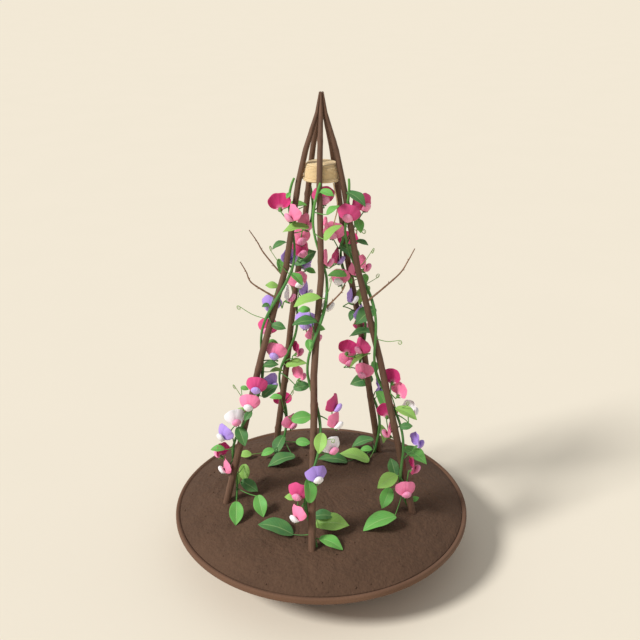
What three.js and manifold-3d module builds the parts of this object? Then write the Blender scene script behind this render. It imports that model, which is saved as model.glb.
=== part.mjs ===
// Potted sweet pea: five climbing stems on a wigwam of five rods, in a wide clay bowl of soil.
// Units are millimetres, +Z up. The origin is the middle of the bowl's foot.
// In the planting group, height zero is the soil where the rods go in, and -Y is the front.
import * as THREE from 'three';
import { mergeVertices } from 'three/addons/utils/BufferGeometryUtils.js';
import Module from 'manifold-3d';

const wasm = await Module();
wasm.setup();

// The bowl
const BOWL_HEIGHT = 102;
const BOWL_FOOT_R = 200;
const BOWL_RIM_R = 312;
const BOWL_MOUTH_R = 306;
const RIM_BAND = 16;
const RIM_PROUD = 6;
const FLOOR_THICK = 10;
const FLOOR_R = 198;
const DRAIN_R = 12;
const BOWL_SIDES = 32;

// The soil, heaped above the rim
const SOIL_LEVEL = 128;
const HEAP_R = 302;
const HEAP_TOP = 8;
const HEAP_FALL = 36;
const HEAP_POWER = 4.5;
const HOLE_GAP = 0.35;

// The rods: a ring at the soil, drawn together at the tip, each a little bent. The rows are the
// ring's radius, the rod's own radius and how far it is bent aside, at the heights in ROD_BENDS.
const ROD_BEARING = { front: -95, left: -167, backLeft: 121, backRight: 49, right: -23 };
const ROD_BENDS = [0, 340, 520, 680, 740, 806, 842];
const ROD_RING_R = [205, 124.2, 81.5, 43.5, 29.2, 7.5, 2.9];
const ROD_OWN_R = [7.4, 6.5, 5.9, 5.4, 5.2, 4, 1.5];
const ROD_ASIDE = {
  front: [0, -4, 8, 0, 0, 0, 0],
  left: [0, 4, 13, 0, 0, 0, 0],
  backLeft: [0, 0, 2.5, 0, 0, 0, 0],
  backRight: [0, 0, -3, 0, 0, 0, 0],
  right: [0, 0, -6, 0, 0, 0, 0],
};
const ROD_SIDES = 8;
const ROD_SUNK = 75;
const ROD_WAVER = 1.6;

// The twine bound between the rods, and its hanging end
const TWINE_LOW = 684;
const TWINE_TURNS = 7;
const TWINE_PITCH = 4.5;
const TWINE_TAIL_R = 1.2;
const TWINE_SIDES = 15;

// The climbing stems: each winds once round its rod in this height
const STEM_R = 2.7;
const STEM_TURN = 260;
const STEM_SWAY = 13;
const STEM_TOP = 690;
const STEM_SUNK = 25;
const STEM_FRONT_AT = { front: 424, left: 464, backLeft: 279, backRight: 302, right: 379 };
const STEM_FOOT = { front: [0, 0], left: [6, 8], backLeft: [18, 0], backRight: [0, 0], right: [0, 0] };

// Leaves and flowers
const LEAF_THICK = 0.9;
const LEAF_ASPECT = 0.6;
const LEAF_REACH = 8;
const PETAL_THICK = 0.9;
const STANDARD_WIDE = 43;
const STANDARD_TALL = 32;
const CLAW_BELOW = 14;
const WING_LONG = 14;
const WING_TALL = 15;
const WING_THICK = 7;
const WING_APART = 5;
const WING_RISE = 9;
const STALK_R = 1.1;

// Edges shorter than this, left where pieces grow together, are closed up
const SLIVER = 0.2;

// Small side twigs: height on the rod, then the elbow and the tip as sideways, up and back
const TWIGS = {
  front: [454, [39, 36, 8], [50, 54, 10]],
  left: [455, [-50, 34, 0], [-69, 75, 0]],
  backLeft: [430, [-63, 80, 0], [-91, 128, 0]],
  backRight: [452, [8, 62, 55], [12, 110, 72]],
  right: [454, [63, 59, 0], [89, 108, 0]],
};

// Flowers, a list for each spray: height, sideways and forward of the rod, the standard petal's
// colour, the wings' colour, and the bearing that the flower faces (0 is the front, 90 the right)
const SPRAYS = {
  left: [
    [[645, -30, 5, 'magenta', 'pink', -175], [630, -4, 27, 'pink', 'pink', -60]],
    [[535, 5, -17, 'lavender', 'lavender', 60]],
    [[465, 19, 2, 'white', 'pink', 90]],
    [[435, -9, -24, 'lavender', 'lavender', -20]],
    [[385, -2, -27, 'magenta', 'pink', -10]],
    [[345, 25, 0, 'pink', 'lavender', -12]],
    [[270, 33, -17, 'lavender', 'lavender', 40]],
    [[285, 3, 27, 'magenta', 'lavender', 0], [250, -4, 32, 'pink', 'white', -10]],
    [[210, -23, 20, 'white', 'pink', 15], [170, -40, 10, 'lavender', 'white', -40]],
    [[115, -38, -15, 'magenta', 'pink', -120], [88, -21, 0, 'pink', 'white', -68]],
  ],
  backLeft: [
    [[592, 3, 25, 'pink', 'pink', 58], [560, -5, 25, 'pink', 'pink', 10]],
    [[533, 0, 26, 'magenta', 'pink', 36]],
    [[490, 11, -14, 'lavender', 'lavender', 30]],
    [[460, 3, 17, 'pink', 'white', 20], [434, 22, 6, 'lavender', 'white', 70]],
    [[285, 20, 10, 'magenta', 'pink', 110]],
    [[220, 32, 10, 'pink', 'pink', 126]],
    [[128, 1, -28, 'magenta', 'pink', 187]],
    [[80, 28, 5, 'pink', 'pink', 35]],
  ],
  front: [
    [[660, 8, -20, 'magenta', 'pink', 10]],
    [[607, 13, -14, 'pink', 'pink', 90], [550, 11, -14, 'pink', 'pink', 95]],
    [[465, 16, -26, 'white', 'white', 85]],
    [[435, -22, -17, 'lavender', 'lavender', -10], [406, -2, -28, 'pink', 'pink', 58]],
    [[290, 39, 5, 'magenta', 'lavender', 58], [260, 42, 10, 'pink', 'white', 60]],
    [[212, 35, 10, 'white', 'pink', 30]],
    [[165, 8, 26, 'lavender', 'white', 18]],
    [[125, -27, 14, 'magenta', 'pink', -10], [84, -30, 17, 'pink', 'white', -52]],
  ],
  backRight: [
    [[572, -18, 15, 'pink', 'pink', -15], [540, 6, -24, 'magenta', 'pink', 180]],
    [[516, -17, 12, 'magenta', 'lavender', 75]],
    [[486, 13, 6, 'pink', 'pink', 70]],
    [[470, -23, 17, 'pink', 'white', -25]],
    [[430, -4, 24, 'lavender', 'white', 80]],
    [[387, 8, 21, 'lavender', 'lavender', 65]],
    [[346, 6, -18, 'magenta', 'pink', 50]],
    [[307, -4, 22, 'magenta', 'pink', -48], [292, -33, -2, 'magenta', 'pink', 180]],
    [[258, -35, -10, 'pink', 'pink', 20]],
    [[242, -7, 20, 'pink', 'pink', -22]],
    [[182, 23, -13, 'lavender', 'lavender', 88]],
  ],
  right: [
    [[632, 1, 27, 'magenta', 'pink', -5]],
    [[641, 32, -12, 'magenta', 'pink', 30]],
    [[520, 14, -26, 'pink', 'pink', 105]],
    [[296, 17, -12, 'magenta', 'pink', 150], [270, 28, -5, 'pink', 'pink', 135]],
    [[227, 43, -12, 'white', 'white', 122]],
    [[214, -8, -27, 'magenta', 'pink', 170], [176, -14, -18, 'pink', 'pink', -104]],
    [[163, 41, 0, 'lavender', 'lavender', 106]],
    [[114, 23, 12, 'magenta', 'pink', 92], [70, -2, 27, 'pink', 'pink', 10]],
  ],
};

// Leaves: height, sideways and forward of the rod at the blade's middle, the blade's length, the
// way its tip lies (0 is right, 90 is up and back, 270 is down and forward), and its roll, in
// degrees. With no roll a blade faces halfway between up and front. The roll turns it upward.
const LEAVES = {
  left: [
    [658, -15, 9, 14, 242, 0], [626, -1, -24, 51, 191, 40], [598, 8, 25, 50, 191, 35], [556, -19, -12, 30, 212, 30],
    [509, -11, -31, 31, 273, 30], [475, -17, -15, 25, 175, 0], [437, -19, -10, 15, 201, 0], [402, 17, 11, 29, 344, 0],
    [354, 17, -20, 23, 349, 0], [318, 23, 4, 30, 5, 15], [299, 38, -8, 27, 3, 40], [262, 34, 6, 39, 40, 15],
    [261, -18, -8, 17, 344, 0], [209, -13, -12, 19, 159, 5], [213, 1, 18, 24, 235, 0], [168, -2, 20, 43, 291, 10],
    [126, -44, -1, 29, 183, 25], [39, 26, -52, 39, 274, 0], [47, 8, -20, 36, 276, 70], [25, 42, -24, 43, 328, 5],
    [23, 70, 45, 47, 285, 0], [18, 22, 63, 49, 270, 10],
  ],
  backLeft: [
    [510, 10, 13, 52, 34, 0], [468, -1, 31, 35, 310, 25], [480, 25, 15, 22, 337, 5], [247, 21, 15, 46, 9, 30],
    [184, 40, 10, 39, 11, 0], [98, 51, 15, 50, 9, 0], [25, 7, 26, 49, 247, 20], [22, 62, 10, 35, 355, 0],
    [21, -18, 53, 32, 205, 15], [16, 15, 83, 66, 202, 40], [13, -69, 50, 30, 182, 10], [157, -15, 16, 28, 180, 25],
  ],
  front: [
    [672, 14, 12, 27, 337, 10], [645, 24, 20, 29, 40, 30], [610, 24, 34, 44, 45, 40], [482, -22, 17, 53, 201, 35],
    [461, -27, 0, 24, 185, 5], [443, -24, 15, 46, 189, 30], [398, -12, 5, 26, 279, 0], [422, 4, -14, 24, 351, 5],
    [220, 13, 16, 41, 261, 0], [131, -8, 18, 49, 95, 35], [104, -42, -5, 23, 180, 0], [14, -73, -45, 74, 164, 40],
    [35, 23, -55, 42, 0, 25], [23, 39, -47, 70, 357, 25], [11, 37, -4, 51, 334, 35],
  ],
  backRight: [
    [526, 8, 26, 51, 316, 20], [480, -25, 32, 38, 180, 25], [463, -3, 14, 19, 298, 0], [456, 29, -10, 22, 279, 0],
    [427, 20, 11, 45, 244, 25], [386, 16, 32, 55, 223, 10], [369, -11, -10, 29, 247, 25], [338, 3, 24, 56, 190, 45],
    [274, -10, 31, 57, 217, 60], [190, -15, -24, 53, 196, 0], [237, 18, -8, 28, 279, 10], [170, 25, 37, 52, 292, 25],
    [55, 12, 0, 46, 281, 45], [18, -35, -13, 54, 201, 40], [14, -29, 10, 29, 189, 25], [17, -57, 48, 70, 165, 40],
    [11, -106, 52, 66, 174, 40],
  ],
  right: [
    [656, 19, 18, 45, 318, 25], [598, 15, -12, 32, 284, 10], [564, 16, -14, 25, 339, 25], [229, 29, 14, 48, 330, 30],
    [194, 24, 0, 26, 5, 0], [122, 29, -11, 58, 325, 30], [101, -20, -5, 39, 104, 0], [81, -37, 14, 50, 215, 5],
    [40, -47, 10, 46, 247, 0], [23, 11, -13, 19, 21, 0], [17, -68, 62, 73, 203, 40],
  ],
};

// Tendrils: height, sideways and forward of the rod at the far end
const TENDRILS = {
  left: [[440, -71, 0], [555, -33, 16], [275, -41, 6]],
  backLeft: [[500, -36, -12], [175, 22, 26]],
  front: [[236, 37, 30], [520, 18, 22]],
  backRight: [[575, 40, 14], [460, 54, -6]],
  right: [[380, 48, 6], [250, 36, 18], [560, 35, 6]],
};

const MATERIAL = {
  clay: new THREE.MeshStandardMaterial({ color: 0x6a4b3a, roughness: 0.75, metalness: 0 }),
  soil: new THREE.MeshStandardMaterial({ color: 0x5a4535, roughness: 1, metalness: 0 }),
  bark: new THREE.MeshStandardMaterial({ color: 0x6f513d, roughness: 0.8, metalness: 0 }),
  twine: new THREE.MeshStandardMaterial({ color: 0xdcbe88, roughness: 0.9, metalness: 0 }),
  green: new THREE.MeshStandardMaterial({ color: 0x64a04a, roughness: 0.6, metalness: 0 }),
  magenta: new THREE.MeshStandardMaterial({ color: 0xcb4f82, roughness: 0.55, metalness: 0 }),
  pink: new THREE.MeshStandardMaterial({ color: 0xf282a4, roughness: 0.55, metalness: 0 }),
  lavender: new THREE.MeshStandardMaterial({ color: 0xa989dc, roughness: 0.55, metalness: 0 }),
  white: new THREE.MeshStandardMaterial({ color: 0xf6f2f4, roughness: 0.55, metalness: 0 }),
};

const UP = new THREE.Vector3(0, 0, 1);
const FRONT = new THREE.Vector3(0, -1, 0);
const vec = (x, y, z) => new THREE.Vector3(x, y, z);
const rad = THREE.MathUtils.degToRad;

// A closed geometry as a solid: shared corners merged, collapsed triangles dropped, faces outward.
function solidOf(geometry) {
  const bare = new THREE.BufferGeometry();
  bare.setAttribute('position', geometry.attributes.position.clone());
  bare.setIndex(geometry.index ? geometry.index.clone() : null);
  const merged = mergeVertices(bare, 1e-3);
  const at = merged.attributes.position;
  const corner = (i) => vec().fromBufferAttribute(at, i);
  const triangles = [];
  let volume = 0;
  for (let i = 0; i < merged.index.count; i += 3) {
    const [a, b, c] = merged.index.array.slice(i, i + 3);
    if (a === b || b === c || c === a) continue;
    triangles.push([a, b, c]);
    volume += corner(a).dot(corner(b).cross(corner(c)));
  }
  const outward = volume > 0 ? triangles : triangles.map(([a, b, c]) => [a, c, b]);
  const mesh = new wasm.Mesh({
    numProp: 3,
    vertProperties: new Float32Array(at.array),
    triVerts: new Uint32Array(outward.flat()),
  });
  return new wasm.Manifold(mesh);
}

const largestBody = (solid) => solid.decompose().sort((a, b) => b.volume() - a.volume())[0];

// The largest body of a joined solid, as a geometry, with its slivers closed up.
function geometryOf(solid) {
  const whole = new wasm.Manifold(largestBody(solid).getMesh());
  const { vertProperties, triVerts } = largestBody(whole.simplify(SLIVER)).getMesh();
  const geometry = new THREE.BufferGeometry();
  geometry.setAttribute('position', new THREE.BufferAttribute(vertProperties, 3));
  geometry.setIndex(new THREE.BufferAttribute(triVerts, 1));
  return geometry;
}

const join = (solids) => wasm.Manifold.union(solids);

// A curve made of straight stretches between stops.
class StopsCurve extends THREE.Curve {
  constructor(stops) {
    super();
    this.stops = stops;
  }

  getPoint(along) {
    const reach = THREE.MathUtils.clamp(along, 0, 1) * (this.stops.length - 1);
    const stop = Math.min(Math.floor(reach), this.stops.length - 2);
    return this.stops[stop].clone().lerp(this.stops[stop + 1], reach - stop);
  }

  getPointAt(along) {
    return this.getPoint(along);
  }

  getTangentAt(along) {
    return this.getTangent(along);
  }
}

// A round rod bent through stops, with its radius at each. A radius of zero closes an end to a point.
function bentRod(stops, radii, sides) {
  const steps = stops.length - 1;
  const geometry = new THREE.CylinderGeometry(1, 1, 1, sides, steps);
  const frames = new StopsCurve(stops).computeFrenetFrames(steps, false);
  const at = geometry.attributes.position;
  for (let i = 0; i < at.count; i += 1) {
    const step = Math.round((at.getY(i) + 0.5) * steps);
    const place = stops[step].clone()
      .addScaledVector(frames.normals[step], at.getX(i) * radii[step])
      .addScaledVector(frames.binormals[step], at.getZ(i) * radii[step]);
    at.setXYZ(i, place.x, place.y, place.z);
  }
  return solidOf(geometry);
}

// A thin blade: a grid laid on a surface, given a thickness along one direction.
// surface(u, v) takes u from 0 to 1 along and v from -1 to 1 across.
function blade(surface, along, across, thick, direction) {
  const grid = new THREE.PlaneGeometry(2, 1, across, along);
  const flat = grid.attributes.position;
  const half = direction.clone().multiplyScalar(thick / 2);
  const places = [];
  for (const side of [1, -1]) {
    for (let i = 0; i < flat.count; i += 1) {
      const place = surface(0.5 - flat.getY(i), flat.getX(i)).addScaledVector(half, side);
      places.push(place.x, place.y, place.z);
    }
  }
  const upper = [...grid.index.array];
  const faces = [...upper];
  for (let i = 0; i < upper.length; i += 3) {
    faces.push(upper[i] + flat.count, upper[i + 2] + flat.count, upper[i + 1] + flat.count);
  }
  const row = across + 1;
  const edge = [];
  for (let i = 0; i < across; i += 1) edge.push(i);
  for (let j = 0; j < along; j += 1) edge.push(j * row + across);
  for (let i = across; i > 0; i -= 1) edge.push(along * row + i);
  for (let j = along; j > 0; j -= 1) edge.push(j * row);
  edge.forEach((a, n) => {
    const b = edge[(n + 1) % edge.length];
    faces.push(a, b, a + flat.count, b, b + flat.count, a + flat.count);
  });
  const geometry = new THREE.BufferGeometry();
  geometry.setAttribute('position', new THREE.Float32BufferAttribute(places, 3));
  geometry.setIndex(faces);
  return solidOf(geometry);
}

// A measure of the rods at a height above the soil: it changes evenly between the bends.
function atHeight(height, measures) {
  const above = Math.max(1, ROD_BENDS.filter((bend) => bend < height).length);
  const i = Math.min(above, ROD_BENDS.length - 1);
  return THREE.MathUtils.mapLinear(height, ROD_BENDS[i - 1], ROD_BENDS[i], measures[i - 1], measures[i]);
}

// A rod's radius and its middle line.
const rodRadius = (height) => atHeight(height, ROD_OWN_R);

function rodMiddle(side, height) {
  const bearing = rad(ROD_BEARING[side]);
  const ring = atHeight(height, ROD_RING_R);
  const fade = height > 0 && height < TWINE_LOW ? Math.sin(Math.PI * height / TWINE_LOW) : 0;
  const waver = ROD_WAVER * fade * Math.sin(height / 80 + bearing);
  const aside = atHeight(height, ROD_ASIDE[side]);
  return vec(
    ring * Math.cos(bearing) - waver * Math.sin(bearing) + aside,
    ring * Math.sin(bearing) + waver * Math.cos(bearing),
    height,
  );
}

// A place given as a height up the rod, then sideways and forward of it.
function besideRod(side, height, sideways, forward) {
  return rodMiddle(side, height).add(vec(sideways, -forward, 0));
}

// The middle line of a climbing stem: an oval turn round its rod that touches it front and back.
function stemMiddle(side, height) {
  const level = Math.max(height, 0);
  const turn = 2 * Math.PI * (level - STEM_FRONT_AT[side]) / STEM_TURN - Math.PI / 2;
  const touch = rodRadius(level) * 1.05 + STEM_R + 1.2;
  const lean = level < 150 ? (1 - level / 150) ** 2 : 0;
  const [footSide, footBack] = STEM_FOOT[side];
  const place = rodMiddle(side, level).add(vec(
    STEM_SWAY * Math.cos(turn) + footSide * lean,
    touch * Math.sin(turn) + footBack * lean,
    0,
  ));
  place.z = height;
  return place;
}

function rod(side, grow = 0) {
  const heights = [-ROD_SUNK - grow, 0, 115, 230, 340, 430, 520, 600, ...ROD_BENDS.slice(3)];
  const stops = heights.map((height) => rodMiddle(side, height));
  return bentRod(stops, heights.map((height) => rodRadius(height) + grow), ROD_SIDES);
}

function twig(side) {
  const [height, elbow, tip] = TWIGS[side];
  const root = rodMiddle(side, height);
  const bend = vec(elbow[0], elbow[2], elbow[1]).add(root);
  const end = vec(tip[0], tip[2], tip[1]).add(root);
  const stops = [root, root.clone().lerp(bend, 0.9), bend.clone().lerp(end, 0.1), end];
  return bentRod(stops, [1.9, 1.5, 1.4, 0.9], 4);
}

function climbingStem(side, grow = 0) {
  const steps = 26;
  const low = -STEM_SUNK - grow;
  const fractions = Array.from({ length: steps + 1 }, (_, i) => i / steps);
  const stops = fractions.map((along) => stemMiddle(side, low + (STEM_TOP - low) * along));
  const radii = fractions.map((along) => STEM_R - 0.7 * along ** 4 + grow);
  return bentRod(stops, radii, 4);
}

// How far a straight stalk stays from every rod's skin.
function clearOfRods(from, to, halfWidth) {
  let least = Infinity;
  for (let i = 0; i <= 8; i += 1) {
    const place = from.clone().lerp(to, i / 8);
    for (const side of Object.keys(ROD_BEARING)) {
      const gap = place.distanceTo(rodMiddle(side, place.z)) * 0.97 - rodRadius(place.z) - halfWidth;
      least = Math.min(least, gap);
    }
  }
  return least;
}

// Where a stalk leaves the stem: the height from which it reaches its end at about the wanted
// length, passes clear of the rods and doesn't run straight at a blade's face.
function springPoint(side, end, reach, halfWidth, face = vec(0, 0, 0)) {
  let best = null;
  for (let rise = -70; rise <= 20; rise += 5) {
    const height = THREE.MathUtils.clamp(end.z + rise, 10, STEM_TOP - 6);
    const place = stemMiddle(side, height);
    const blocked = Math.max(0, 1 - clearOfRods(place, end, halfWidth));
    const steep = Math.abs(end.clone().sub(place).normalize().dot(face));
    const length = place.distanceTo(end);
    const cost = Math.abs(length - reach) + 40 * blocked + 60 * Math.max(0, steep - 0.8);
    if (!best || cost < best.cost) best = { cost, place };
  }
  return best.place;
}

// A leaf on its stalk: broad, pointed at the tip, and folded a little along the midrib.
function leaf(side, [height, sideways, forward, length, lie, roll]) {
  const upBack = UP.clone().sub(FRONT).normalize();
  const upFront = UP.clone().add(FRONT).normalize();
  const axis = vec(Math.cos(rad(lie)), 0, 0).addScaledVector(upBack, Math.sin(rad(lie)));
  const edge = upFront.clone().cross(axis);
  if (edge.z < -1e-9) edge.negate();
  const face = upFront.clone().multiplyScalar(Math.cos(rad(roll)))
    .addScaledVector(edge, Math.sin(rad(roll)));
  const across = axis.clone().cross(face);
  const base = besideRod(side, height, sideways, forward).addScaledVector(axis, -length / 2);
  const root = springPoint(side, base, LEAF_REACH, 1.5, face);
  const half = LEAF_ASPECT * length / 2;
  const along = [0, 0, 0.27, 0.66, 1];
  const wide = [0, 0.28 * half, 0.94 * half, 0.88 * half, 0];
  const surface = (u, v) => {
    const stop = Math.round(u * 4);
    const arch = 0.1 * length * Math.sin(Math.PI * along[stop]);
    const fold = 0.24 * Math.abs(v) * wide[stop];
    return (stop ? base : root).clone().addScaledVector(axis, along[stop] * length)
      .addScaledVector(across, v * wide[stop])
      .addScaledVector(face, arch + fold);
  };
  return blade(surface, 4, 2, LEAF_THICK, face);
}

function tendril(side, [height, sideways, forward], number) {
  const end = besideRod(side, height, sideways, forward);
  const root = springPoint(side, end, 34, 1);
  const away = end.clone().sub(root);
  const hook = away.clone().normalize();
  const swing = number % 2 ? 5 : -5;
  const route = [
    root,
    root.clone().addScaledVector(away, 0.5).addScaledVector(UP, -4),
    end,
    end.clone().addScaledVector(hook, 6).addScaledVector(UP, swing),
    end.clone().addScaledVector(hook, 1).addScaledVector(UP, 2 * swing),
  ];
  const stops = new THREE.CatmullRomCurve3(route).getPoints(7);
  return bentRod(stops, stops.map((_, i) => (i < 7 ? 0.8 - 0.03 * i : 0)), 3);
}

// A flower's own directions: right, up and outward as it faces.
function flowerFrame([height, sideways, forward, , , faces], side, number) {
  const out = vec(Math.sin(rad(faces)), -Math.cos(rad(faces)), 0);
  const right = vec(Math.cos(rad(faces)), Math.sin(rad(faces)), 0);
  const back = rad(10) * Math.cos(rad(faces));
  const roll = rad(12 * Math.sin(2.4 * number));
  const rise = UP.clone().multiplyScalar(Math.cos(back)).addScaledVector(out, -Math.sin(back));
  const fore = out.clone().multiplyScalar(Math.cos(back)).addScaledVector(UP, Math.sin(back));
  const x = right.clone().multiplyScalar(Math.cos(roll)).addScaledVector(rise, Math.sin(roll));
  const y = rise.clone().multiplyScalar(Math.cos(roll)).addScaledVector(right, -Math.sin(roll));
  const middle = besideRod(side, height, sideways, forward);
  const claw = middle.clone().addScaledVector(y, -CLAW_BELOW);
  const put = (a, b, c) => claw.clone().addScaledVector(x, a).addScaledVector(y, b)
    .addScaledVector(fore, c);
  return { put, fore, claw };
}

// The standard: a broad upright petal like a fan, with a slight notch at the top. Its sides
// turn back.
function standard({ put, fore }) {
  const surface = (u, v) => {
    const bearing = rad(146 * v);
    const notch = Math.exp(-((v / 0.12) ** 2));
    const x = STANDARD_WIDE / 2 * Math.sin(bearing) * u;
    const y = (STANDARD_TALL / 2 * (1 + Math.cos(bearing)) - notch) * u;
    const z = 2.5 * Math.sin(Math.PI * u) - 5.5 * (x / 20) ** 2 - 1.5;
    return put(x, y, z);
  };
  return blade(surface, 2, 4, PETAL_THICK, fore);
}

// A wing: a plump petal that starts narrow in the green cup and stands out broad to the front.
// Its outline has six corners, and it bulges to both sides.
function wing({ put }, hand) {
  const geometry = new THREE.SphereGeometry(1, 6, 2);
  const at = geometry.attributes.position;
  for (let i = 0; i < at.count; i += 1) {
    const along = (at.getZ(i) / Math.sin(Math.PI / 3) + 1) / 2;
    const widen = 0.3 + 0.7 * Math.sqrt(Math.max(along, 0));
    const y = at.getX(i) * WING_TALL / 2 * widen;
    const x = hand * (WING_APART + at.getY(i) * WING_THICK / 2) * widen + hand * 0.25 * y;
    const place = put(x, y + 1.5 + WING_RISE * along, WING_LONG * along);
    at.setXYZ(i, place.x, place.y, place.z);
  }
  return solidOf(geometry);
}

// The stalk of one flower, widening into the green cup behind the petals.
function flowerStalk(start, lead, { put }, blunt) {
  const stops = [start, start.clone().addScaledVector(lead, 5), put(0, -2.5, -8), put(0, 0, -0.5), put(0, 0.8, 5)];
  return bentRod(stops, [blunt ? STALK_R : 0, 1, 1.2, 4.4, 0], 3);
}

function flower(frame) {
  return [standard(frame), wing(frame, 1), wing(frame, -1)];
}

// A spray: its flowers on short stalks of their own. It stands on the end of a long stalk of
// the climbing stem, and the two meet face to face.
function spray(side, flowers, firstNumber) {
  const frames = flowers.map((each, i) => flowerFrame(each, side, firstNumber + i));
  const hub = vec(0, 0, 0);
  for (const { put } of frames) hub.addScaledVector(put(0, -9, -14), 1 / frames.length);
  const root = springPoint(side, hub, 24, STALK_R);
  const bow = root.clone().lerp(hub, 0.5).addScaledVector(UP, 0.12 * root.distanceTo(hub));
  const lead = hub.clone().sub(bow).normalize();
  const longStalk = new THREE.QuadraticBezierCurve3(root, bow, hub).getPoints(3);
  const start = hub.clone().addScaledVector(lead, HOLE_GAP);
  const fork = start.clone().addScaledVector(lead, 2);
  const heads = frames.flatMap((frame, i) => [
    ...flower(frame),
    flowerStalk(i ? fork : start, lead, frame, i === 0),
  ]);
  return { head: join(heads), stalk: bentRod(longStalk, [0, STALK_R, STALK_R, STALK_R], 3) };
}

// The bowl: one closed profile turned round the axis, with a drain hole in its floor.
function bowl() {
  const bandLow = BOWL_HEIGHT - RIM_BAND;
  const profile = [
    [DRAIN_R, 0], [BOWL_FOOT_R, 0], [BOWL_RIM_R - RIM_PROUD - 1, bandLow], [BOWL_RIM_R - 2, bandLow + 2],
    [BOWL_RIM_R, bandLow + 5], [BOWL_RIM_R, BOWL_HEIGHT - 3], [BOWL_RIM_R - 2, BOWL_HEIGHT],
    [BOWL_MOUTH_R, BOWL_HEIGHT], [FLOOR_R, FLOOR_THICK], [DRAIN_R, FLOOR_THICK], [DRAIN_R, 0],
  ].map(([r, z]) => new THREE.Vector2(r, z));
  return solidOf(new THREE.LatheGeometry(profile, BOWL_SIDES).rotateX(Math.PI / 2));
}

// The soil's skin: a low dome that falls away to the rim, with shallow lumps.
function soilHeight(x, y) {
  const r = Math.hypot(x, y);
  const lumps = 1.5 * Math.sin(x / 37 + 1) * Math.cos(y / 43) + 0.9 * Math.sin((x - 2 * y) / 29);
  const fade = Math.min(1, Math.max(0, (HEAP_R - r) / 60));
  return HEAP_TOP - HEAP_FALL * (r / HEAP_R) ** HEAP_POWER + lumps * fade;
}

function soil() {
  const wallAt = (z) => THREE.MathUtils.mapLinear(
    z + SOIL_LEVEL, FLOOR_THICK, BOWL_HEIGHT, FLOOR_R, BOWL_MOUTH_R) - 0.5;
  const edge = HEAP_TOP - HEAP_FALL;
  const floor = FLOOR_THICK + HOLE_GAP - SOIL_LEVEL;
  const rings = [0, 95, 175, 225, 268, HEAP_R];
  const profile = [
    ...rings.map((r) => [r, 0]), [wallAt(edge - 6), edge - 6], [wallAt(floor), floor], [0, floor],
  ].map(([r, z]) => new THREE.Vector2(r, z));
  const geometry = new THREE.LatheGeometry(profile, BOWL_SIDES).rotateX(Math.PI / 2);
  const at = geometry.attributes.position;
  for (let i = 0; i < at.count; i += 1) {
    const onSkin = i % profile.length < rings.length;
    if (onSkin) at.setZ(i, soilHeight(at.getX(i), at.getY(i)));
  }
  const holes = Object.keys(ROD_BEARING)
    .flatMap((side) => [rod(side, HOLE_GAP), climbingStem(side, HOLE_GAP)]);
  return solidOf(geometry).subtract(join(holes));
}

// The twine: turns wound close on each other, each as wide as the rods leave it, and crossed
// between the rods until the middle is full.
function twine() {
  const insideRods = (z) => rodMiddle('front', z).setZ(0).length() - rodRadius(z) * 1.03 - 0.4;
  const profile = [];
  for (let turn = 0; turn < TWINE_TURNS; turn += 1) {
    const z = TWINE_LOW + turn * TWINE_PITCH;
    profile.push([insideRods(z + TWINE_PITCH) - 1.6, z], [insideRods(z + TWINE_PITCH / 2), z + TWINE_PITCH / 2]);
  }
  const top = TWINE_LOW + TWINE_TURNS * TWINE_PITCH;
  profile.unshift([0, TWINE_LOW]);
  profile.push([insideRods(top) - 1.6, top], [0, top]);
  const points = profile.map(([r, z]) => new THREE.Vector2(r, z));
  const geometry = new THREE.LatheGeometry(points, TWINE_SIDES).rotateX(Math.PI / 2);
  return solidOf(geometry.rotateZ(rad(ROD_BEARING.front)));
}

// The twine's loose end hangs from the lowest turn.
const TAIL_ROUTE = [[22, -23, 683], [25, -26, 668], [29, -29, 650], [29, -30, 632], [25, -32, 615], [22, -33, 598]];

function twineTail() {
  const curve = new THREE.CatmullRomCurve3(TAIL_ROUTE.map(([x, y, z]) => vec(x, y, z)));
  const stops = curve.getSpacedPoints(10);
  return bentRod(stops, stops.map(() => TWINE_TAIL_R), 5);
}

const group = new THREE.Group();
const planting = new THREE.Group();
planting.position.z = SOIL_LEVEL;
group.add(planting);

function add(parent, name, solid, material) {
  const mesh = new THREE.Mesh(geometryOf(solid), material);
  mesh.name = name;
  parent.add(mesh);
}

add(group, 'bowl', bowl(), MATERIAL.clay);
add(planting, 'soil', soil(), MATERIAL.soil);
for (const side of Object.keys(ROD_BEARING)) {
  add(planting, `rod_${side}`, join([rod(side), twig(side)]), MATERIAL.bark);
}
add(planting, 'twine_coil', twine(), MATERIAL.twine);
add(planting, 'twine_tail', twineTail(), MATERIAL.twine);

let flowerNumber = 0;
for (const side of Object.keys(ROD_BEARING)) {
  const green = [climbingStem(side)];
  green.push(...LEAVES[side].map((each) => leaf(side, each)));
  green.push(...TENDRILS[side].map((each, i) => tendril(side, each, i)));
  SPRAYS[side].forEach((flowers, i) => {
    const { head, stalk } = spray(side, flowers, flowerNumber);
    flowerNumber += flowers.length;
    green.push(stalk);
    add(planting, `spray_${side}_${i + 1}`, head, MATERIAL[flowers[0][3]]);
  });
  add(planting, `vine_${side}`, join(green), MATERIAL.green);
}

export default group;
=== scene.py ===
# %% [markdown]
# # A potted sweet pea
#
# Five slim rods stand in a wide clay bowl of soil and lean together at the top, round a band of
# twine. A sweet pea climbs each rod. This lesson dresses a plain model of that planting: every
# stem, leaf, petal, rod and crumb is a surface worked out with numpy on a grid, and every finish
# is a small node tree. Heights are in millimetres above the soil where the rods go in, and the
# last step of each piece turns them into metres in the model's own frame.

# %% Load the plain model
import math

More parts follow.
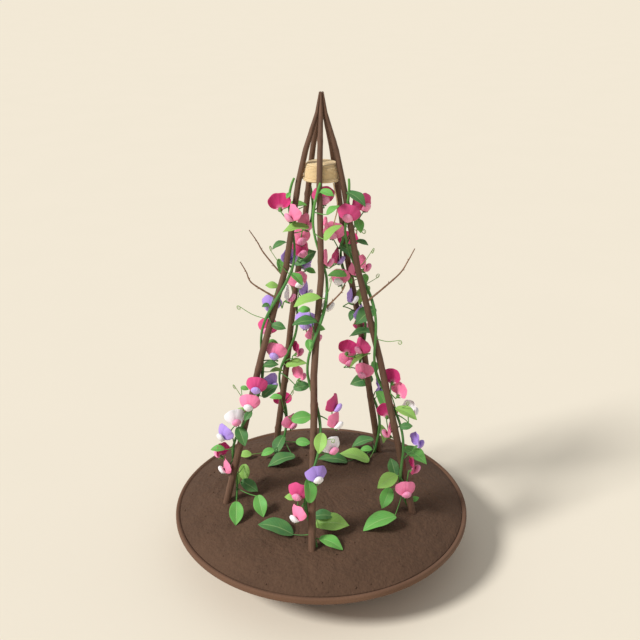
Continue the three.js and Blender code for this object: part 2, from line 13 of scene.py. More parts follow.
import bmesh
import bpy
import numpy as np
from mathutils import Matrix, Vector


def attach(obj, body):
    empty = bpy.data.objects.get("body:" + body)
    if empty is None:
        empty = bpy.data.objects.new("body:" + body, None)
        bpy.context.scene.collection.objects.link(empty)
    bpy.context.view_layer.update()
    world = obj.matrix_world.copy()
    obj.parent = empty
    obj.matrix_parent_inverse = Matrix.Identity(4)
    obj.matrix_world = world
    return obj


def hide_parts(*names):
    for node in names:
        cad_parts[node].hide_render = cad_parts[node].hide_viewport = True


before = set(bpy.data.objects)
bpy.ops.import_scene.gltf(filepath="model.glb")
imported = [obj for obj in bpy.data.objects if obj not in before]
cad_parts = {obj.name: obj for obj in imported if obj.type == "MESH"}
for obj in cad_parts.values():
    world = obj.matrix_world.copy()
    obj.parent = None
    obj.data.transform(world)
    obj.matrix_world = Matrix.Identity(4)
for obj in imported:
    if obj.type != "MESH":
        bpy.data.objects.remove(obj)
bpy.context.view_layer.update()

# %% [markdown]
# ## Camera and light
#
# The picture looks down at the plant by about 23 degrees through a longish lens. One broad sun
# stands on the left and a little to the front, so a soft shadow falls to the right. The world
# gives an even white light that fills the shadows. The camera alone sees it as pale cream, the
# colour of the lit floor, so no horizon shows.

# %% Camera
MM = 0.001
SOIL_LEVEL = 128.0


def lift(points):
    """Millimetres above the soil line become metres above the bowl's foot."""
    return (np.asarray(points, float) + (0.0, 0.0, SOIL_LEVEL)) * MM


LENS, SENSOR_WIDTH, SIGHT_END = 49.45, 36.0, 50.0
EYE = lift([-2.4, -1594.5, 1089.2])
AIM = lift([-2.4, 0.0, 400.3])


def placed(name, data):
    """A new object in the scene."""
    thing = bpy.data.objects.new(name, data)
    bpy.context.scene.collection.objects.link(thing)
    return thing


def aimed(thing, place, target):
    """Puts a camera or sun at a place and turns its -Z axis to the target."""
    thing.location = place
    thing.rotation_euler = (Vector(target) - Vector(place)).to_track_quat("-Z", "Y").to_euler()


camera_data = bpy.data.cameras.new("camera")
camera_data.lens = LENS
camera_data.sensor_width, camera_data.clip_end = SENSOR_WIDTH, SIGHT_END
camera = placed("camera", camera_data)
aimed(camera, EYE, AIM)
bpy.context.scene.camera = camera
print("camera at", np.round(EYE, 3).tolist(), "lens", LENS, "mm")

# %% Sun and world
bpy.context.scene.view_settings.view_transform = "Standard"
bpy.context.scene.view_settings.look = "None"

SUN_STRENGTH, SKY_STRENGTH, SUN_WIDTH, SUN_FAR = 2.80, 0.43, 14.0, 5.0
SUN_HEIGHT, SUN_BEARING = math.radians(41.0), math.radians(209.0)
WHITE, CREAM = (1.0, 1.0, 1.0, 1.0), (0.888, 0.806, 0.665, 1.0)
sun_data = bpy.data.lights.new("soft_sun", "SUN")
sun_data.energy = SUN_STRENGTH
sun_data.angle = math.radians(SUN_WIDTH)
sun = placed("soft_sun", sun_data)
level = math.cos(SUN_HEIGHT)
sun_way = np.array([math.cos(SUN_BEARING) * level, math.sin(SUN_BEARING) * level, math.sin(SUN_HEIGHT)])
aimed(sun, SUN_FAR * sun_way, (0.0, 0.0, 0.0))

world = bpy.data.worlds.new("studio")
bpy.context.scene.world = world
world.use_nodes = True
sky, sky_links = world.node_tree.nodes, world.node_tree.links
fill, cream = sky["Background"], sky.new("ShaderNodeBackground")
chosen, ray = sky.new("ShaderNodeMixShader"), sky.new("ShaderNodeLightPath")
fill.inputs["Color"].default_value = WHITE
fill.inputs["Strength"].default_value = SKY_STRENGTH
cream.inputs["Color"].default_value = CREAM
sky_links.new(ray.outputs["Is Camera Ray"], chosen.inputs[0])
sky_links.new(fill.outputs[0], chosen.inputs[1])
sky_links.new(cream.outputs[0], chosen.inputs[2])
sky_links.new(chosen.outputs[0], sky["World Output"].inputs["Surface"])
print("a sun", round(math.degrees(SUN_HEIGHT)), "degrees high and a white fill of", SKY_STRENGTH)

# %% [markdown]
# ## Sizes
#
# These are the real sizes of the planting. The plain model was made from the same ones, so the
# finer pieces land on it. A flower's row holds its height up the rod, how far it stands
# sideways and forward of the rod, the colours of its standard petal and wings, and the bearing
# that it faces. A leaf's row holds height, sideways, forward and length, the angle at which its
# midrib lies in a plane that faces up and to the front, the angle by which its face rolls
# upward about the midrib, and its tone: light, middle or dark. A tendril's row holds where it
# ends: height, sideways and forward.

# %% Rods, stems, soil and bowl
ROD_BEARING = {"front": -95, "left": -167, "backLeft": 121, "backRight": 49, "right": -23}
ROD_BENDS = (-340.0, 0.0, 340.0, 520.0, 680.0, 740.0, 806.0, 842.0)
ROD_RING_R = (285.8, 205.0, 124.2, 81.5, 43.5, 29.2, 7.5, 2.9)
ROD_OWN_R = (8.3, 7.4, 6.5, 5.9, 5.4, 5.2, 4.0, 1.5)
ROD_ASIDE = {
    "front": (4, 0, -4, 8, 0, 0, 0, 0),
    "left": (-4, 0, 4, 13, 0, 0, 0, 0),
    "backLeft": (0, 0, 0, 2.5, 0, 0, 0, 0),
    "backRight": (0, 0, 0, -3, 0, 0, 0, 0),
    "right": (0, 0, 0, -6, 0, 0, 0, 0),
}
ROD_SUNK, ROD_TOP, ROD_WAVER = 75.0, 842.0, 1.6
TWINE_LOW, TWINE_TOP, TWINE_R = 684.0, 715.5, 1.2
STEM_R, STEM_TURN, STEM_SWAY, STEM_TOP = 2.7, 260.0, 13.0, 690.0
STEM_FRONT_AT = {"front": 424, "left": 464, "backLeft": 279, "backRight": 302, "right": 379}
STEM_FOOT = {"front": (0, 0), "left": (6, 8), "backLeft": (18, 0), "backRight": (0, 0), "right": (0, 0)}
HEAP_R, HEAP_TOP, HEAP_FALL, HEAP_POWER = 302.0, 8.0, 36.0, 4.5
BOWL_HEIGHT, BOWL_FOOT_R, BOWL_RIM_R, BOWL_MOUTH_R = 102.0, 200.0, 312.0, 306.0
RIM_BAND, RIM_PROUD, FLOOR_THICK, FLOOR_R, DRAIN_R = 16.0, 6.0, 10.0, 198.0, 12.0
STANDARD_WIDE, STANDARD_TALL, CLAW_BELOW = 43.0, 32.0, 14.0
WING_LONG, WING_TALL, WING_RISE = 14.0, 15.0, 9.0
LEAF_ASPECT, LEAF_REACH, STALK_R, HEAD_GAP = 0.6, 8.0, 1.1, 0.35
print("rods", ROD_TOP, "mm tall in a bowl", 2 * BOWL_RIM_R, "mm wide")

# %% Twigs
TWIGS = {
    "front": (454, (39, 36, 8), (50, 54, 10)),
    "left": (455, (-50, 34, 0), (-69, 75, 0)),
    "backLeft": (430, (-63, 80, 0), (-91, 128, 0)),
    "backRight": (452, (8, 62, 55), (12, 110, 72)),
    "right": (454, (63, 59, 0), (89, 108, 0)),
}
print(len(TWIGS), "twigs, each with its height on the rod, its elbow and its tip")

# %% Flowers
M, P, L, W = "magenta", "pink", "lavender", "white"
SPRAYS = {
    "front": [
        [(660, 8, -20, M, P, 10)],
        [(607, 13, -14, P, P, 90), (550, 11, -14, P, P, 95)],
        [(465, 16, -26, W, W, 85)],
        [(435, -22, -17, L, L, -10), (406, -2, -28, P, P, 58)],
        [(290, 39, 5, M, L, 58), (260, 42, 10, P, W, 60)],
        [(212, 35, 10, W, P, 30)],
        [(165, 8, 26, L, W, 18)],
        [(125, -27, 14, M, P, -10), (84, -30, 17, P, W, -52)],
    ],
    "left": [
        [(645, -30, 5, M, P, -175), (630, -4, 27, P, P, -60)],
        [(535, 5, -17, L, L, 60)],
        [(465, 19, 2, W, P, 90)],
        [(435, -9, -24, L, L, -20)],
        [(385, -2, -27, M, P, -10)],
        [(345, 25, 0, P, L, -12)],
        [(270, 33, -17, L, L, 40)],
        [(285, 3, 27, M, L, 0), (250, -4, 32, P, W, -10)],
        [(210, -23, 20, W, P, 15), (170, -40, 10, L, W, -40)],
        [(115, -38, -15, M, P, -120), (88, -21, 0, P, W, -68)],
    ],
    "backLeft": [
        [(592, 3, 25, P, P, 58), (560, -5, 25, P, P, 10)],
        [(533, 0, 26, M, P, 36)],
        [(490, 11, -14, L, L, 30)],
        [(460, 3, 17, P, W, 20), (434, 22, 6, L, W, 70)],
        [(285, 20, 10, M, P, 110)],
        [(220, 32, 10, P, P, 126)],
        [(128, 1, -28, M, P, 187)],
        [(80, 28, 5, P, P, 35)],
    ],
    "backRight": [
        [(572, -18, 15, P, P, -15), (540, 6, -24, M, P, 180)],
        [(516, -17, 12, M, L, 75)],
        [(486, 13, 6, P, P, 70)],
        [(470, -23, 17, P, W, -25)],
        [(430, -4, 24, L, W, 80)],
        [(387, 8, 21, L, L, 65)],
        [(346, 6, -18, M, P, 50)],
        [(307, -4, 22, M, P, -48), (292, -33, -2, M, P, 180)],
        [(258, -35, -10, P, P, 20)],
        [(242, -7, 20, P, P, -22)],
        [(182, 23, -13, L, L, 88)],
    ],
    "right": [
        [(632, 1, 27, M, P, -5)],
        [(641, 32, -12, M, P, 30)],
        [(520, 14, -26, P, P, 105)],
        [(296, 17, -12, M, P, 150), (270, 28, -5, P, P, 135)],
        [(227, 43, -12, W, W, 122)],
        [(214, -8, -27, M, P, 170), (176, -14, -18, P, P, -104)],
        [(163, 41, 0, L, L, 106)],
        [(114, 23, 12, M, P, 92), (70, -2, 27, P, P, 10)],
    ],
}
sprays = [flowers for side in SPRAYS.values() for flowers in side]
print(len(sprays), "sprays,", sum(map(len, sprays)), "blooms")

# %% Leaves and tendrils
LEAVES = {
    "left": [
        (658, -15, 9, 14, 242, 0, "m"), (626, -1, -24, 51, 191, 40, "m"), (598, 8, 25, 50, 191, 35, "l"),
        (556, -19, -12, 30, 212, 30, "d"), (509, -11, -31, 31, 273, 30, "m"),
        (475, -17, -15, 25, 175, 0, "l"), (437, -19, -10, 15, 201, 0, "d"), (402, 17, 11, 29, 344, 0, "d"),
        (354, 17, -20, 23, 349, 0, "m"),
        (318, 23, 4, 30, 5, 15, "d"), (299, 38, -8, 27, 3, 40, "l"), (262, 34, 6, 39, 40, 15, "d"),
        (261, -18, -8, 17, 344, 0, "m"), (209, -13, -12, 19, 159, 5, "l"), (213, 1, 18, 24, 235, 0, "d"),
        (168, -2, 20, 43, 291, 10, "d"), (126, -44, -1, 29, 183, 25, "m"), (39, 26, -52, 39, 274, 0, "l"),
        (47, 8, -20, 36, 276, 70, "l"), (25, 42, -24, 43, 328, 5, "d"), (23, 70, 45, 47, 285, 0, "m"),
        (18, 22, 63, 49, 270, 10, "m"),
    ],
    "backLeft": [
        (510, 10, 13, 52, 34, 0, "d"), (468, -1, 31, 35, 310, 25, "m"), (480, 25, 15, 22, 337, 5, "m"),
        (247, 21, 15, 46, 9, 30, "l"), (184, 40, 10, 39, 11, 0, "d"), (98, 51, 15, 50, 9, 0, "m"),
        (25, 7, 26, 49, 247, 20, "d"), (22, 62, 10, 35, 355, 0, "m"), (21, -18, 53, 32, 205, 15, "m"),
        (16, 15, 83, 66, 202, 40, "d"), (13, -69, 50, 30, 182, 10, "l"), (157, -15, 16, 28, 180, 25, "m"),
    ],
    "front": [
        (672, 14, 12, 27, 337, 10, "m"), (645, 24, 20, 29, 40, 30, "m"), (610, 24, 34, 44, 45, 40, "l"),
        (482, -22, 17, 53, 201, 35, "l"), (461, -27, 0, 24, 185, 5, "m"), (443, -24, 15, 46, 189, 30, "d"),
        (398, -12, 5, 26, 279, 0, "m"), (422, 4, -14, 24, 351, 5, "m"), (220, 13, 16, 41, 261, 0, "l"),
        (131, -8, 18, 49, 95, 35, "m"), (104, -42, -5, 23, 180, 0, "l"), (14, -73, -45, 74, 164, 40, "d"),
        (35, 23, -55, 42, 0, 25, "d"), (23, 39, -47, 70, 357, 25, "l"), (11, 37, -4, 51, 334, 35, "m"),
    ],
    "backRight": [
        (526, 8, 26, 51, 316, 20, "d"), (480, -25, 32, 38, 180, 25, "m"), (463, -3, 14, 19, 298, 0, "m"),
        (456, 29, -10, 22, 279, 0, "m"), (427, 20, 11, 45, 244, 25, "l"), (386, 16, 32, 55, 223, 10, "d"),
        (369, -11, -10, 29, 247, 25, "d"), (338, 3, 24, 56, 190, 45, "d"), (274, -10, 31, 57, 217, 60, "l"),
        (190, -15, -24, 53, 196, 0, "d"), (237, 18, -8, 28, 279, 10, "m"), (170, 25, 37, 52, 292, 25, "m"),
        (55, 12, 0, 46, 281, 45, "l"), (18, -35, -13, 54, 201, 40, "d"), (14, -29, 10, 29, 189, 25, "m"),
        (17, -57, 48, 70, 165, 40, "l"), (11, -106, 52, 66, 174, 40, "d"),
    ],
    "right": [
        (656, 19, 18, 45, 318, 25, "d"), (598, 15, -12, 32, 284, 10, "m"), (564, 16, -14, 25, 339, 25, "d"),
        (229, 29, 14, 48, 330, 30, "l"), (194, 24, 0, 26, 5, 0, "d"), (122, 29, -11, 58, 325, 30, "m"),
        (101, -20, -5, 39, 104, 0, "d"), (81, -37, 14, 50, 215, 5, "l"), (40, -47, 10, 46, 247, 0, "m"),
        (23, 11, -13, 19, 21, 0, "m"), (17, -68, 62, 73, 203, 40, "m"),
    ],
}
TENDRILS = {
    "left": [(440, -71, 0), (555, -33, 16), (275, -41, 6)],
    "backLeft": [(500, -36, -12), (175, 22, 26)],
    "front": [(236, 37, 30), (520, 18, 22)],
    "backRight": [(575, 40, 14), (460, 54, -6)],
    "right": [(380, 48, 6), (250, 36, 18), (560, 35, 6)],
}
print(sum(map(len, LEAVES.values())), "leaves,", sum(map(len, TENDRILS.values())), "tendrils")

# %% [markdown]
# ## From grids to meshes
#
# A surface is a grid of points, rows by columns. A **patch** carries the grid with a tint for
# each point and the finish that it wears. `make_piece` puts the patches of one piece into one
# mesh: it numbers all corners at once, fills Blender's arrays with `foreach_set`, then merges
# the corners that meet at seams, poles and rims, so that each form is closed.

# %% Patches and pieces
def patch(points, tint, finish=0, wrap=False):
    """A grid of points with a tint for each. wrap joins the last column to the first."""
    points = np.asarray(points, float)
    tint = np.broadcast_to(np.asarray(tint, float), points.shape)
    return {"points": points, "tint": tint, "finish": finish, "wrap": wrap}


def quads_of(rows, cols, wrap):
    """Corner numbers of the quads between neighbouring rows and columns."""
    across = cols if wrap else cols - 1
    r, c = np.meshgrid(np.arange(rows - 1), np.arange(across), indexing="ij")
    beside = (c + 1) % cols
    near, far = r * cols, (r + 1) * cols
    corners = np.stack([near + c, near + beside, far + beside, far + c], -1)
    spread = np.stack([np.stack([(r + i) / (rows - 1), (c + j) / across], -1)
                       for i, j in ((0, 0), (0, 1), (1, 1), (1, 0))], -2)
    return corners.reshape(-1, 4), spread.reshape(-1, 4, 2)


def make_piece(name, patches, finishes):
    """One object from many patches, in metres, with UVs, a tint attribute and closed seams."""
    points, corners, spreads, slots, first = [], [], [], [], 0
    for each in patches:
        rows, cols = each["points"].shape[:2]
        quads, spread = quads_of(rows, cols, each["wrap"])
        corners.append(quads + first)
        spreads.append(spread)
        slots.append(np.full(len(quads), each["finish"]))
        points.append(each["points"].reshape(-1, 3))
        first += rows * cols
    points, corners = np.concatenate(points), np.concatenate(corners)
    tints = np.concatenate([each["tint"].reshape(-1, 3) for each in patches])
    mesh = bpy.data.meshes.new(name)
    mesh.vertices.add(len(points))
    mesh.vertices.foreach_set("co", lift(points).ravel())
    mesh.loops.add(corners.size)
    mesh.loops.foreach_set("vertex_index", corners.ravel())
    mesh.polygons.add(len(corners))
    mesh.polygons.foreach_set("loop_start", np.arange(0, corners.size, 4))
    mesh.polygons.foreach_set("material_index", np.concatenate(slots))
    mesh.polygons.foreach_set("use_smooth", np.ones(len(corners), bool))
    mesh.update(calc_edges=True)
    mesh.uv_layers.new(name="UVMap").data.foreach_set("uv", np.concatenate(spreads).ravel())
    tinted = mesh.attributes.new("tint", "FLOAT_COLOR", "POINT")
    tinted.data.foreach_set("color", np.c_[tints, np.ones(len(tints))].ravel())
    close_seams(mesh)
    for finish in finishes:
        mesh.materials.append(finish)
    return placed(name, mesh)


def close_seams(mesh):
    """Merges corners that lie on each other, then turns every closed form's faces outward."""
    work = bmesh.new()
    work.from_mesh(mesh)
    bmesh.ops.remove_doubles(work, verts=work.verts, dist=2e-6)
    bmesh.ops.recalc_face_normals(work, faces=work.faces)
    work.to_mesh(mesh)
    work.free()


def dress(piece, slot, *nodes):
    """The piece moves with the one body and stands for its nodes, which it hides. The slot is not used."""
    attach(piece, "root")
    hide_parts(*nodes)
    return piece


print("a wrapped grid of 3 rows by 8 gives", len(quads_of(3, 8, True)[0]), "quads")

# %% Tubes, shells and smooth paths
def unit(vectors):
    """Vectors divided by their lengths."""
    return vectors / (np.linalg.norm(vectors, axis=-1, keepdims=True) + 1e-12)


def circle(steps):
    """The angles of even steps round a full turn."""
    return 2 * np.pi * np.arange(steps) / steps


def turned(radius, angle, height):
    """Points (radius cos angle, radius sin angle, height) round the upright axis."""
    radius, angle, height = np.broadcast_arrays(radius, angle, height)
    return np.stack([radius * np.cos(angle), radius * np.sin(angle), height], -1)


def blade_steps(first, last, rows, edge, columns):
    """Steps along a blade from 0 to 1 and across it from -1 to 1. The outermost ones lie close
    together, so that the blade stays thick almost to its rim."""
    along = np.r_[0, np.linspace(first, last, rows), 1][:, None]
    return along, np.r_[-1, np.linspace(-edge, edge, columns), 1][None, :]


def arc(start, corner, end, t):
    """A quadratic arc: it leaves its start and meets its end along the lines to the corner."""
    return (1 - t) ** 2 * start + 2 * t * (1 - t) * corner + t**2 * end


def tube(path, radius, sides=8, tint=(1, 1, 1), finish=0, swell=1, held=None):
    """Rings round a path: path + radius (cos a * normal + sin a * binormal), with both ends
    closed by a pole. The normal is square to the path and to a held direction, by default the
    axis that the path runs least along. swell scales each point's radius."""
    path = np.asarray(path, float)
    along = unit(np.gradient(path, axis=0))
    if held is None:
        held = np.eye(3)[np.argmin(np.abs(along).max(axis=0))]
    normal = unit(np.cross(along, held))[:, None, :]
    binormal = np.cross(along[:, None, :], normal)
    turn = circle(sides)[None, :, None]
    reach = np.broadcast_to(radius, len(path))[:, None] * swell
    spoke = np.cos(turn) * normal + np.sin(turn) * binormal
    rings = path[:, None, :] + (reach * np.ones((1, sides)))[..., None] * spoke
    ends = [np.repeat(path[i][None, None, :], sides, axis=1) for i in (0, -1)]
    tint = np.asarray(tint, float)
    if tint.ndim == 2:
        tint = np.concatenate([tint[:1], tint, tint[-1:]])[:, None, :]
    return patch(np.concatenate([ends[0], rings, ends[1]]), tint, finish, wrap=True)


def shell(surface, thick, tint, back_tint):
    """A thin closed blade: a surface moved half a thickness to each side along its normals.
    The thickness falls to nothing on the grid's border, where both sides meet."""
    normal = unit(np.cross(np.gradient(surface, axis=0), np.gradient(surface, axis=1)))
    full = np.zeros(surface.shape[:2])
    full[1:-1, 1:-1] = thick / 2
    offset = normal * full[..., None]
    back = np.broadcast_to(np.asarray(back_tint, float), surface.shape)
    return [patch(surface + offset, tint), patch((surface - offset)[:, ::-1], back[:, ::-1])]


def smooth_path(stops, count):
    """A Catmull-Rom curve through stops: on each stretch the point is a cubic whose slope at
    a stop is half the step between that stop's neighbours."""
    stops = np.asarray(stops, float)
    padded = np.concatenate([[2 * stops[0] - stops[1]], stops, [2 * stops[-1] - stops[-2]]])
    along = np.linspace(0, len(stops) - 1, count)
    i = np.minimum(along.astype(int), len(stops) - 2)
    t = (along - i)[:, None]
    a, b, c, d = (padded[i + k] for k in range(4))
    square, cube = 2 * a - 5 * b + 4 * c - d, 3 * b - a - 3 * c + d
    return 0.5 * (2 * b + (c - a) * t + square * t**2 + cube * t**3)


def blend(a, b, share):
    """A mix of two colours, from a at share 0 to b at share 1."""
    share = np.clip(np.asarray(share, float), 0, 1)[..., None]
    return np.asarray(a) * (1 - share) + np.asarray(b) * share


def varied(colour, amount, phase):
    """A colour made lighter or darker by a share that follows a sine."""
    return np.asarray(colour) * (1 + amount * math.sin(phase))


print("a tube of 3 rings and 2 poles:", tube([(0, 0, 0), (0, 0, 1), (0, 0, 2)], 1.0)["points"].shape)

# %% [markdown]
# ## Where things stand
#
# Each rod leans from its place in the ring to the tip and wavers a little on the way. A stem
# winds once round its rod in 260 mm. A leaf or spray springs from the height on the stem from
# which its stalk has about the right length and passes clear of the rods, so the finer pieces
# ask the same questions as the plain model did.

# %% Rod and stem lines
ROD_ROOM, STEM_ROOM, FOOT_FADES = 1.05, 1.2, 150.0
RISES, BLOCKED_COST, FACE_COST, FACE_STEEP = np.arange(-70, 21, 5), 40.0, 60.0, 0.8
ROD_LEAN = 0.97


def rod_radius(height):
    """A rod's own radius, which changes evenly between the heights in ROD_BENDS."""
    return np.interp(height, ROD_BENDS, ROD_OWN_R)


def rod_middle(side, height):
    """The ring shrinks and the rod bends aside evenly between the heights in ROD_BENDS. A
    sine makes it waver."""
    height = np.asarray(height, float)
    bearing = math.radians(ROD_BEARING[side])
    ring = np.interp(height, ROD_BENDS, ROD_RING_R)
    inside = (height > 0) & (height < TWINE_LOW)
    fade = np.where(inside, np.sin(np.pi * height / TWINE_LOW), 0.0)
    waver = ROD_WAVER * fade * np.sin(height / 80 + bearing)
    aside = np.interp(height, ROD_BENDS, ROD_ASIDE[side])
    return np.stack([ring * math.cos(bearing) - waver * math.sin(bearing) + aside,
                     ring * math.sin(bearing) + waver * math.cos(bearing), height], -1)


def beside_rod(side, height, sideways, forward):
    """A place given as a height up the rod, then sideways and forward of it."""
    return rod_middle(side, height) + (sideways, -forward, 0.0)


def stem_middle(side, height):
    """An oval turn round the rod: a wide sway sideways and a close touch front and back. The
    lowest part leans over to the stem's foot."""
    height = np.asarray(height, float)
    level = np.maximum(height, 0)
    turn = 2 * np.pi * (level - STEM_FRONT_AT[side]) / STEM_TURN - np.pi / 2
    touch = rod_radius(level) * ROD_ROOM + STEM_R + STEM_ROOM
    lean = np.where(level < FOOT_FADES, (1 - level / FOOT_FADES) ** 2, 0.0)
    foot_side, foot_back = STEM_FOOT[side]
    place = rod_middle(side, level)
    place[..., 0] += STEM_SWAY * np.cos(turn) + foot_side * lean
    place[..., 1] += touch * np.sin(turn) + foot_back * lean
    place[..., 2] = height
    return place


def spring_point(side, end, reach, half_width, face=(0, 0, 0)):
    """The place on the stem whose straight stalk is nearest the wanted length, at a cost for
    each one that comes within a millimetre of a rod's skin or runs straight at a face. The
    gap to a leaning rod is a little less than the level distance."""
    starts = stem_middle(side, np.clip(end[2] + RISES, 10, STEM_TOP - 6))
    share = np.linspace(0, 1, 9)[None, :, None]
    line = starts[:, None, :] * (1 - share) + end * share
    gaps = [np.linalg.norm(line - rod_middle(each, line[..., 2]), axis=-1) * ROD_LEAN
            - rod_radius(line[..., 2]) - half_width for each in ROD_BEARING]
    blocked = np.maximum(0, 1 - np.min(gaps, axis=(0, 2)))
    steep = np.abs(unit(end - starts) @ np.asarray(face, float))
    length = np.linalg.norm(starts - end, axis=-1)
    bent = BLOCKED_COST * blocked + FACE_COST * np.maximum(0, steep - FACE_STEEP)
    return starts[np.argmin(np.abs(length - reach) + bent)]


print("the front rod goes in at", np.round(rod_middle("front", 0), 1).tolist())
print("its stem's foot is at", np.round(stem_middle("front", 0), 1).tolist())

# %% [markdown]
# ## Finishes
#
# A finish is a Principled shader with a few texture nodes. `Workbench` keeps the node calls
# short: it makes a node, sets or links its inputs and hands back an output. Patterns read
# Object coordinates, or the UVs and the tint attribute where they follow a petal or leaf.
# Clay, soil and bark could be pictures wrapped round the forms, but noise has no seams and
# stays sharp however near one looks.

# %% A short way to write nodes
class Workbench:
    """A material and its shader, with short calls for the nodes that feed them."""

    def __init__(self, name, roughness, **sockets):
        """An underscore in a socket's name stands for a space."""
        self.material = bpy.data.materials.new(name)
        self.material.use_nodes = True
        self.tree = self.material.node_tree
        self.shader = self.tree.nodes["Principled BSDF"]
        self.shader.inputs["Roughness"].default_value = roughness
        for socket, value in sockets.items():
            self.shader.inputs[socket.replace("_", " ")].default_value = value

    def node(self, kind, inputs, out=0, **settings):
        """Makes a node, links or sets its inputs and hands back one output."""
        made = self.tree.nodes.new("ShaderNode" + kind)
        for key, value in settings.items():
            setattr(made, key, value)
        for key, value in inputs.items():
            if isinstance(value, bpy.types.NodeSocket):
                self.tree.links.new(value, made.inputs[key])
            else:
                made.inputs[key].default_value = value
        return made.outputs[out]

    def place(self, stretch=(1, 1, 1)):
        """Object coordinates, stretched."""
        where = self.node("TexCoord", {}, out="Object")
        return self.node("Mapping", {"Vector": where, "Scale": stretch})

    def ramp(self, value, start, end):
        """Even from 0 where the value is at its start to 1 at its end."""
        return self.node("MapRange", {"Value": value, "From Min": start, "From Max": end})

    def noise(self, where, scale, detail, low=0.3, high=0.7):
        """Noise, made steeper between two of its values."""
        raw = self.node("TexNoise", {"Vector": where, "Scale": scale, "Detail": detail})
        return self.ramp(raw, low, high)

    def tint(self):
        """The colour that each piece keeps in its tint attribute."""
        return self.node("Attribute", {}, out="Color", attribute_name="tint")

    def spread(self):
        """The UV map's two numbers: from base to tip, and from edge to edge."""
        where = self.node("UVMap", {}, uv_map="UVMap")
        return [self.node("SeparateXYZ", {"Vector": where}, out=i) for i in (0, 1)]

    def math(self, operation, a, b=0.0):
        """One sum of two numbers."""
        return self.node("Math", {0: a, 1: b}, operation=operation)

    def times(self, a, b):
        """Two numbers multiplied."""
        return self.math("MULTIPLY", a, b)

    def lines(self, value, width):
        """Soft lines where a value passes a whole number."""
        return self.ramp(self.math("PINGPONG", value, 0.5), width, 0.0)

    def mix(self, share, a, b, how="MIX"):
        """Colour a where share is 0, and b where it is 1."""
        return self.node("Mix", {0: share, 6: a, 7: b}, out=2, data_type="RGBA", blend_type=how)

    def dyed(self, a, b):
        """Two colours multiplied."""
        return self.mix(1.0, a, b, "MULTIPLY")

    def over(self, share, most, below, above):
        """A colour laid over another as thickly as share says, but never more than most."""
        return self.mix(self.times(share, most), below, above)

    def colour(self, socket):
        """Links a colour to the shader."""
        self.tree.links.new(socket, self.shader.inputs["Base Color"])

    def bump(self, height, depth, strength):
        """Lets a height, times a depth in metres, tip the surface's normal."""
        normal = self.node("Bump", {"Height": height, "Distance": depth, "Strength": strength})
        self.tree.links.new(normal, self.shader.inputs["Normal"])


def rgb(red, green, blue):
    """A colour as Blender's inputs want it, with an alpha of 1."""
    return (red, green, blue, 1.0)


# %% Clay, soil, bark and twine
def clay_finish():
    """Fired clay: dark brown, cloudy, with a faint bloom of lime and fine grit."""
    bench = Workbench("fired_clay", 0.86)
    where = bench.place()
    cloudy = bench.noise(where, 9.0, 6.0)
    body = bench.mix(cloudy, rgb(0.132, 0.064, 0.034), rgb(0.166, 0.081, 0.043))
    limed = bench.over(bench.noise(where, 5.0, 8.0, 0.52, 0.78), 0.25, body, rgb(0.26, 0.17, 0.12))
    grit = bench.noise(where, 420.0, 2.0, 0.62, 0.72)
    bench.colour(bench.over(grit, 0.35, limed, rgb(0.07, 0.035, 0.022)))
    bench.bump(bench.noise(where, 260.0, 6.0), 0.0006, 0.5)
    return bench.material


def soil_finish():
    """Damp compost: dark brown, lighter on the crumbs, with a few pale fibres."""
    bench = Workbench("damp_soil", 0.95)
    where = bench.place()
    patchy = bench.noise(where, 14.0, 8.0, 0.35, 0.65)
    crumbs = bench.noise(where, 190.0, 5.0, 0.35, 0.68)
    ground = bench.mix(patchy, rgb(0.084, 0.042, 0.022), rgb(0.106, 0.054, 0.029))
    lit = bench.over(crumbs, 0.5, ground, rgb(0.130, 0.070, 0.038))
    fibre = bench.noise(bench.place((1.0, 3.5, 1.0)), 330.0, 2.0, 0.70, 0.76)
    bench.colour(bench.over(fibre, 0.3, lit, rgb(0.20, 0.12, 0.075)))
    bench.bump(crumbs, 0.0012, 0.7)
    return bench.material


def bark_finish():
    """Smooth brown bark: long streaks up the rod and pale pores across it, times the tint,
    which makes young twigs paler."""
    bench = Workbench("brown_bark", 0.74)
    streaks = bench.noise(bench.place((1.0, 1.0, 0.07)), 240.0, 6.0)
    clouds = bench.noise(bench.place((1.0, 1.0, 0.35)), 22.0, 4.0)
    wood = bench.mix(streaks, rgb(0.105, 0.052, 0.029), rgb(0.170, 0.086, 0.049))
    toned = bench.over(clouds, 0.5, wood, rgb(0.135, 0.070, 0.042))
    pores = bench.noise(bench.place((1.0, 1.0, 2.6)), 150.0, 2.0, 0.69, 0.74)
    aged = bench.over(pores, 0.35, toned, rgb(0.27, 0.16, 0.10))
    bench.colour(bench.dyed(aged, bench.tint()))
    bench.bump(streaks, 0.0007, 0.6)
    return bench.material


def twine_finish():
    """Jute: straw yellow, with fine fibres. The tint carries painted shade that darkens it between the
    strands.
    """
    bench = Workbench("jute_twine", 0.92, Sheen_Weight=0.25)
    fibres = bench.noise(bench.place((1.0, 1.0, 3.0)), 900.0, 4.0)
    bench.colour(bench.over(fibres, 0.35, bench.tint(), rgb(0.62, 0.44, 0.22)))
    bench.bump(fibres, 0.0003, 0.6)
    return bench.material


CLAY, SOIL, BARK, TWINE = clay_finish(), soil_finish(), bark_finish(), twine_finish()
print("finishes:", [each.name for each in (CLAY, SOIL, BARK, TWINE)])

# %% [markdown]
# Leaves and petals share an idea: the tint attribute gives each its own colour, and the UV map
# runs from the base to the tip and from edge to edge, so veins can be drawn on it. A leaf has
# a pale midrib and side veins that lean forward. A petal has fine veins that fan out from its
# claw, and they fade towards the rim. The veins are too fine to model, so they are colour and
# a slight bump.

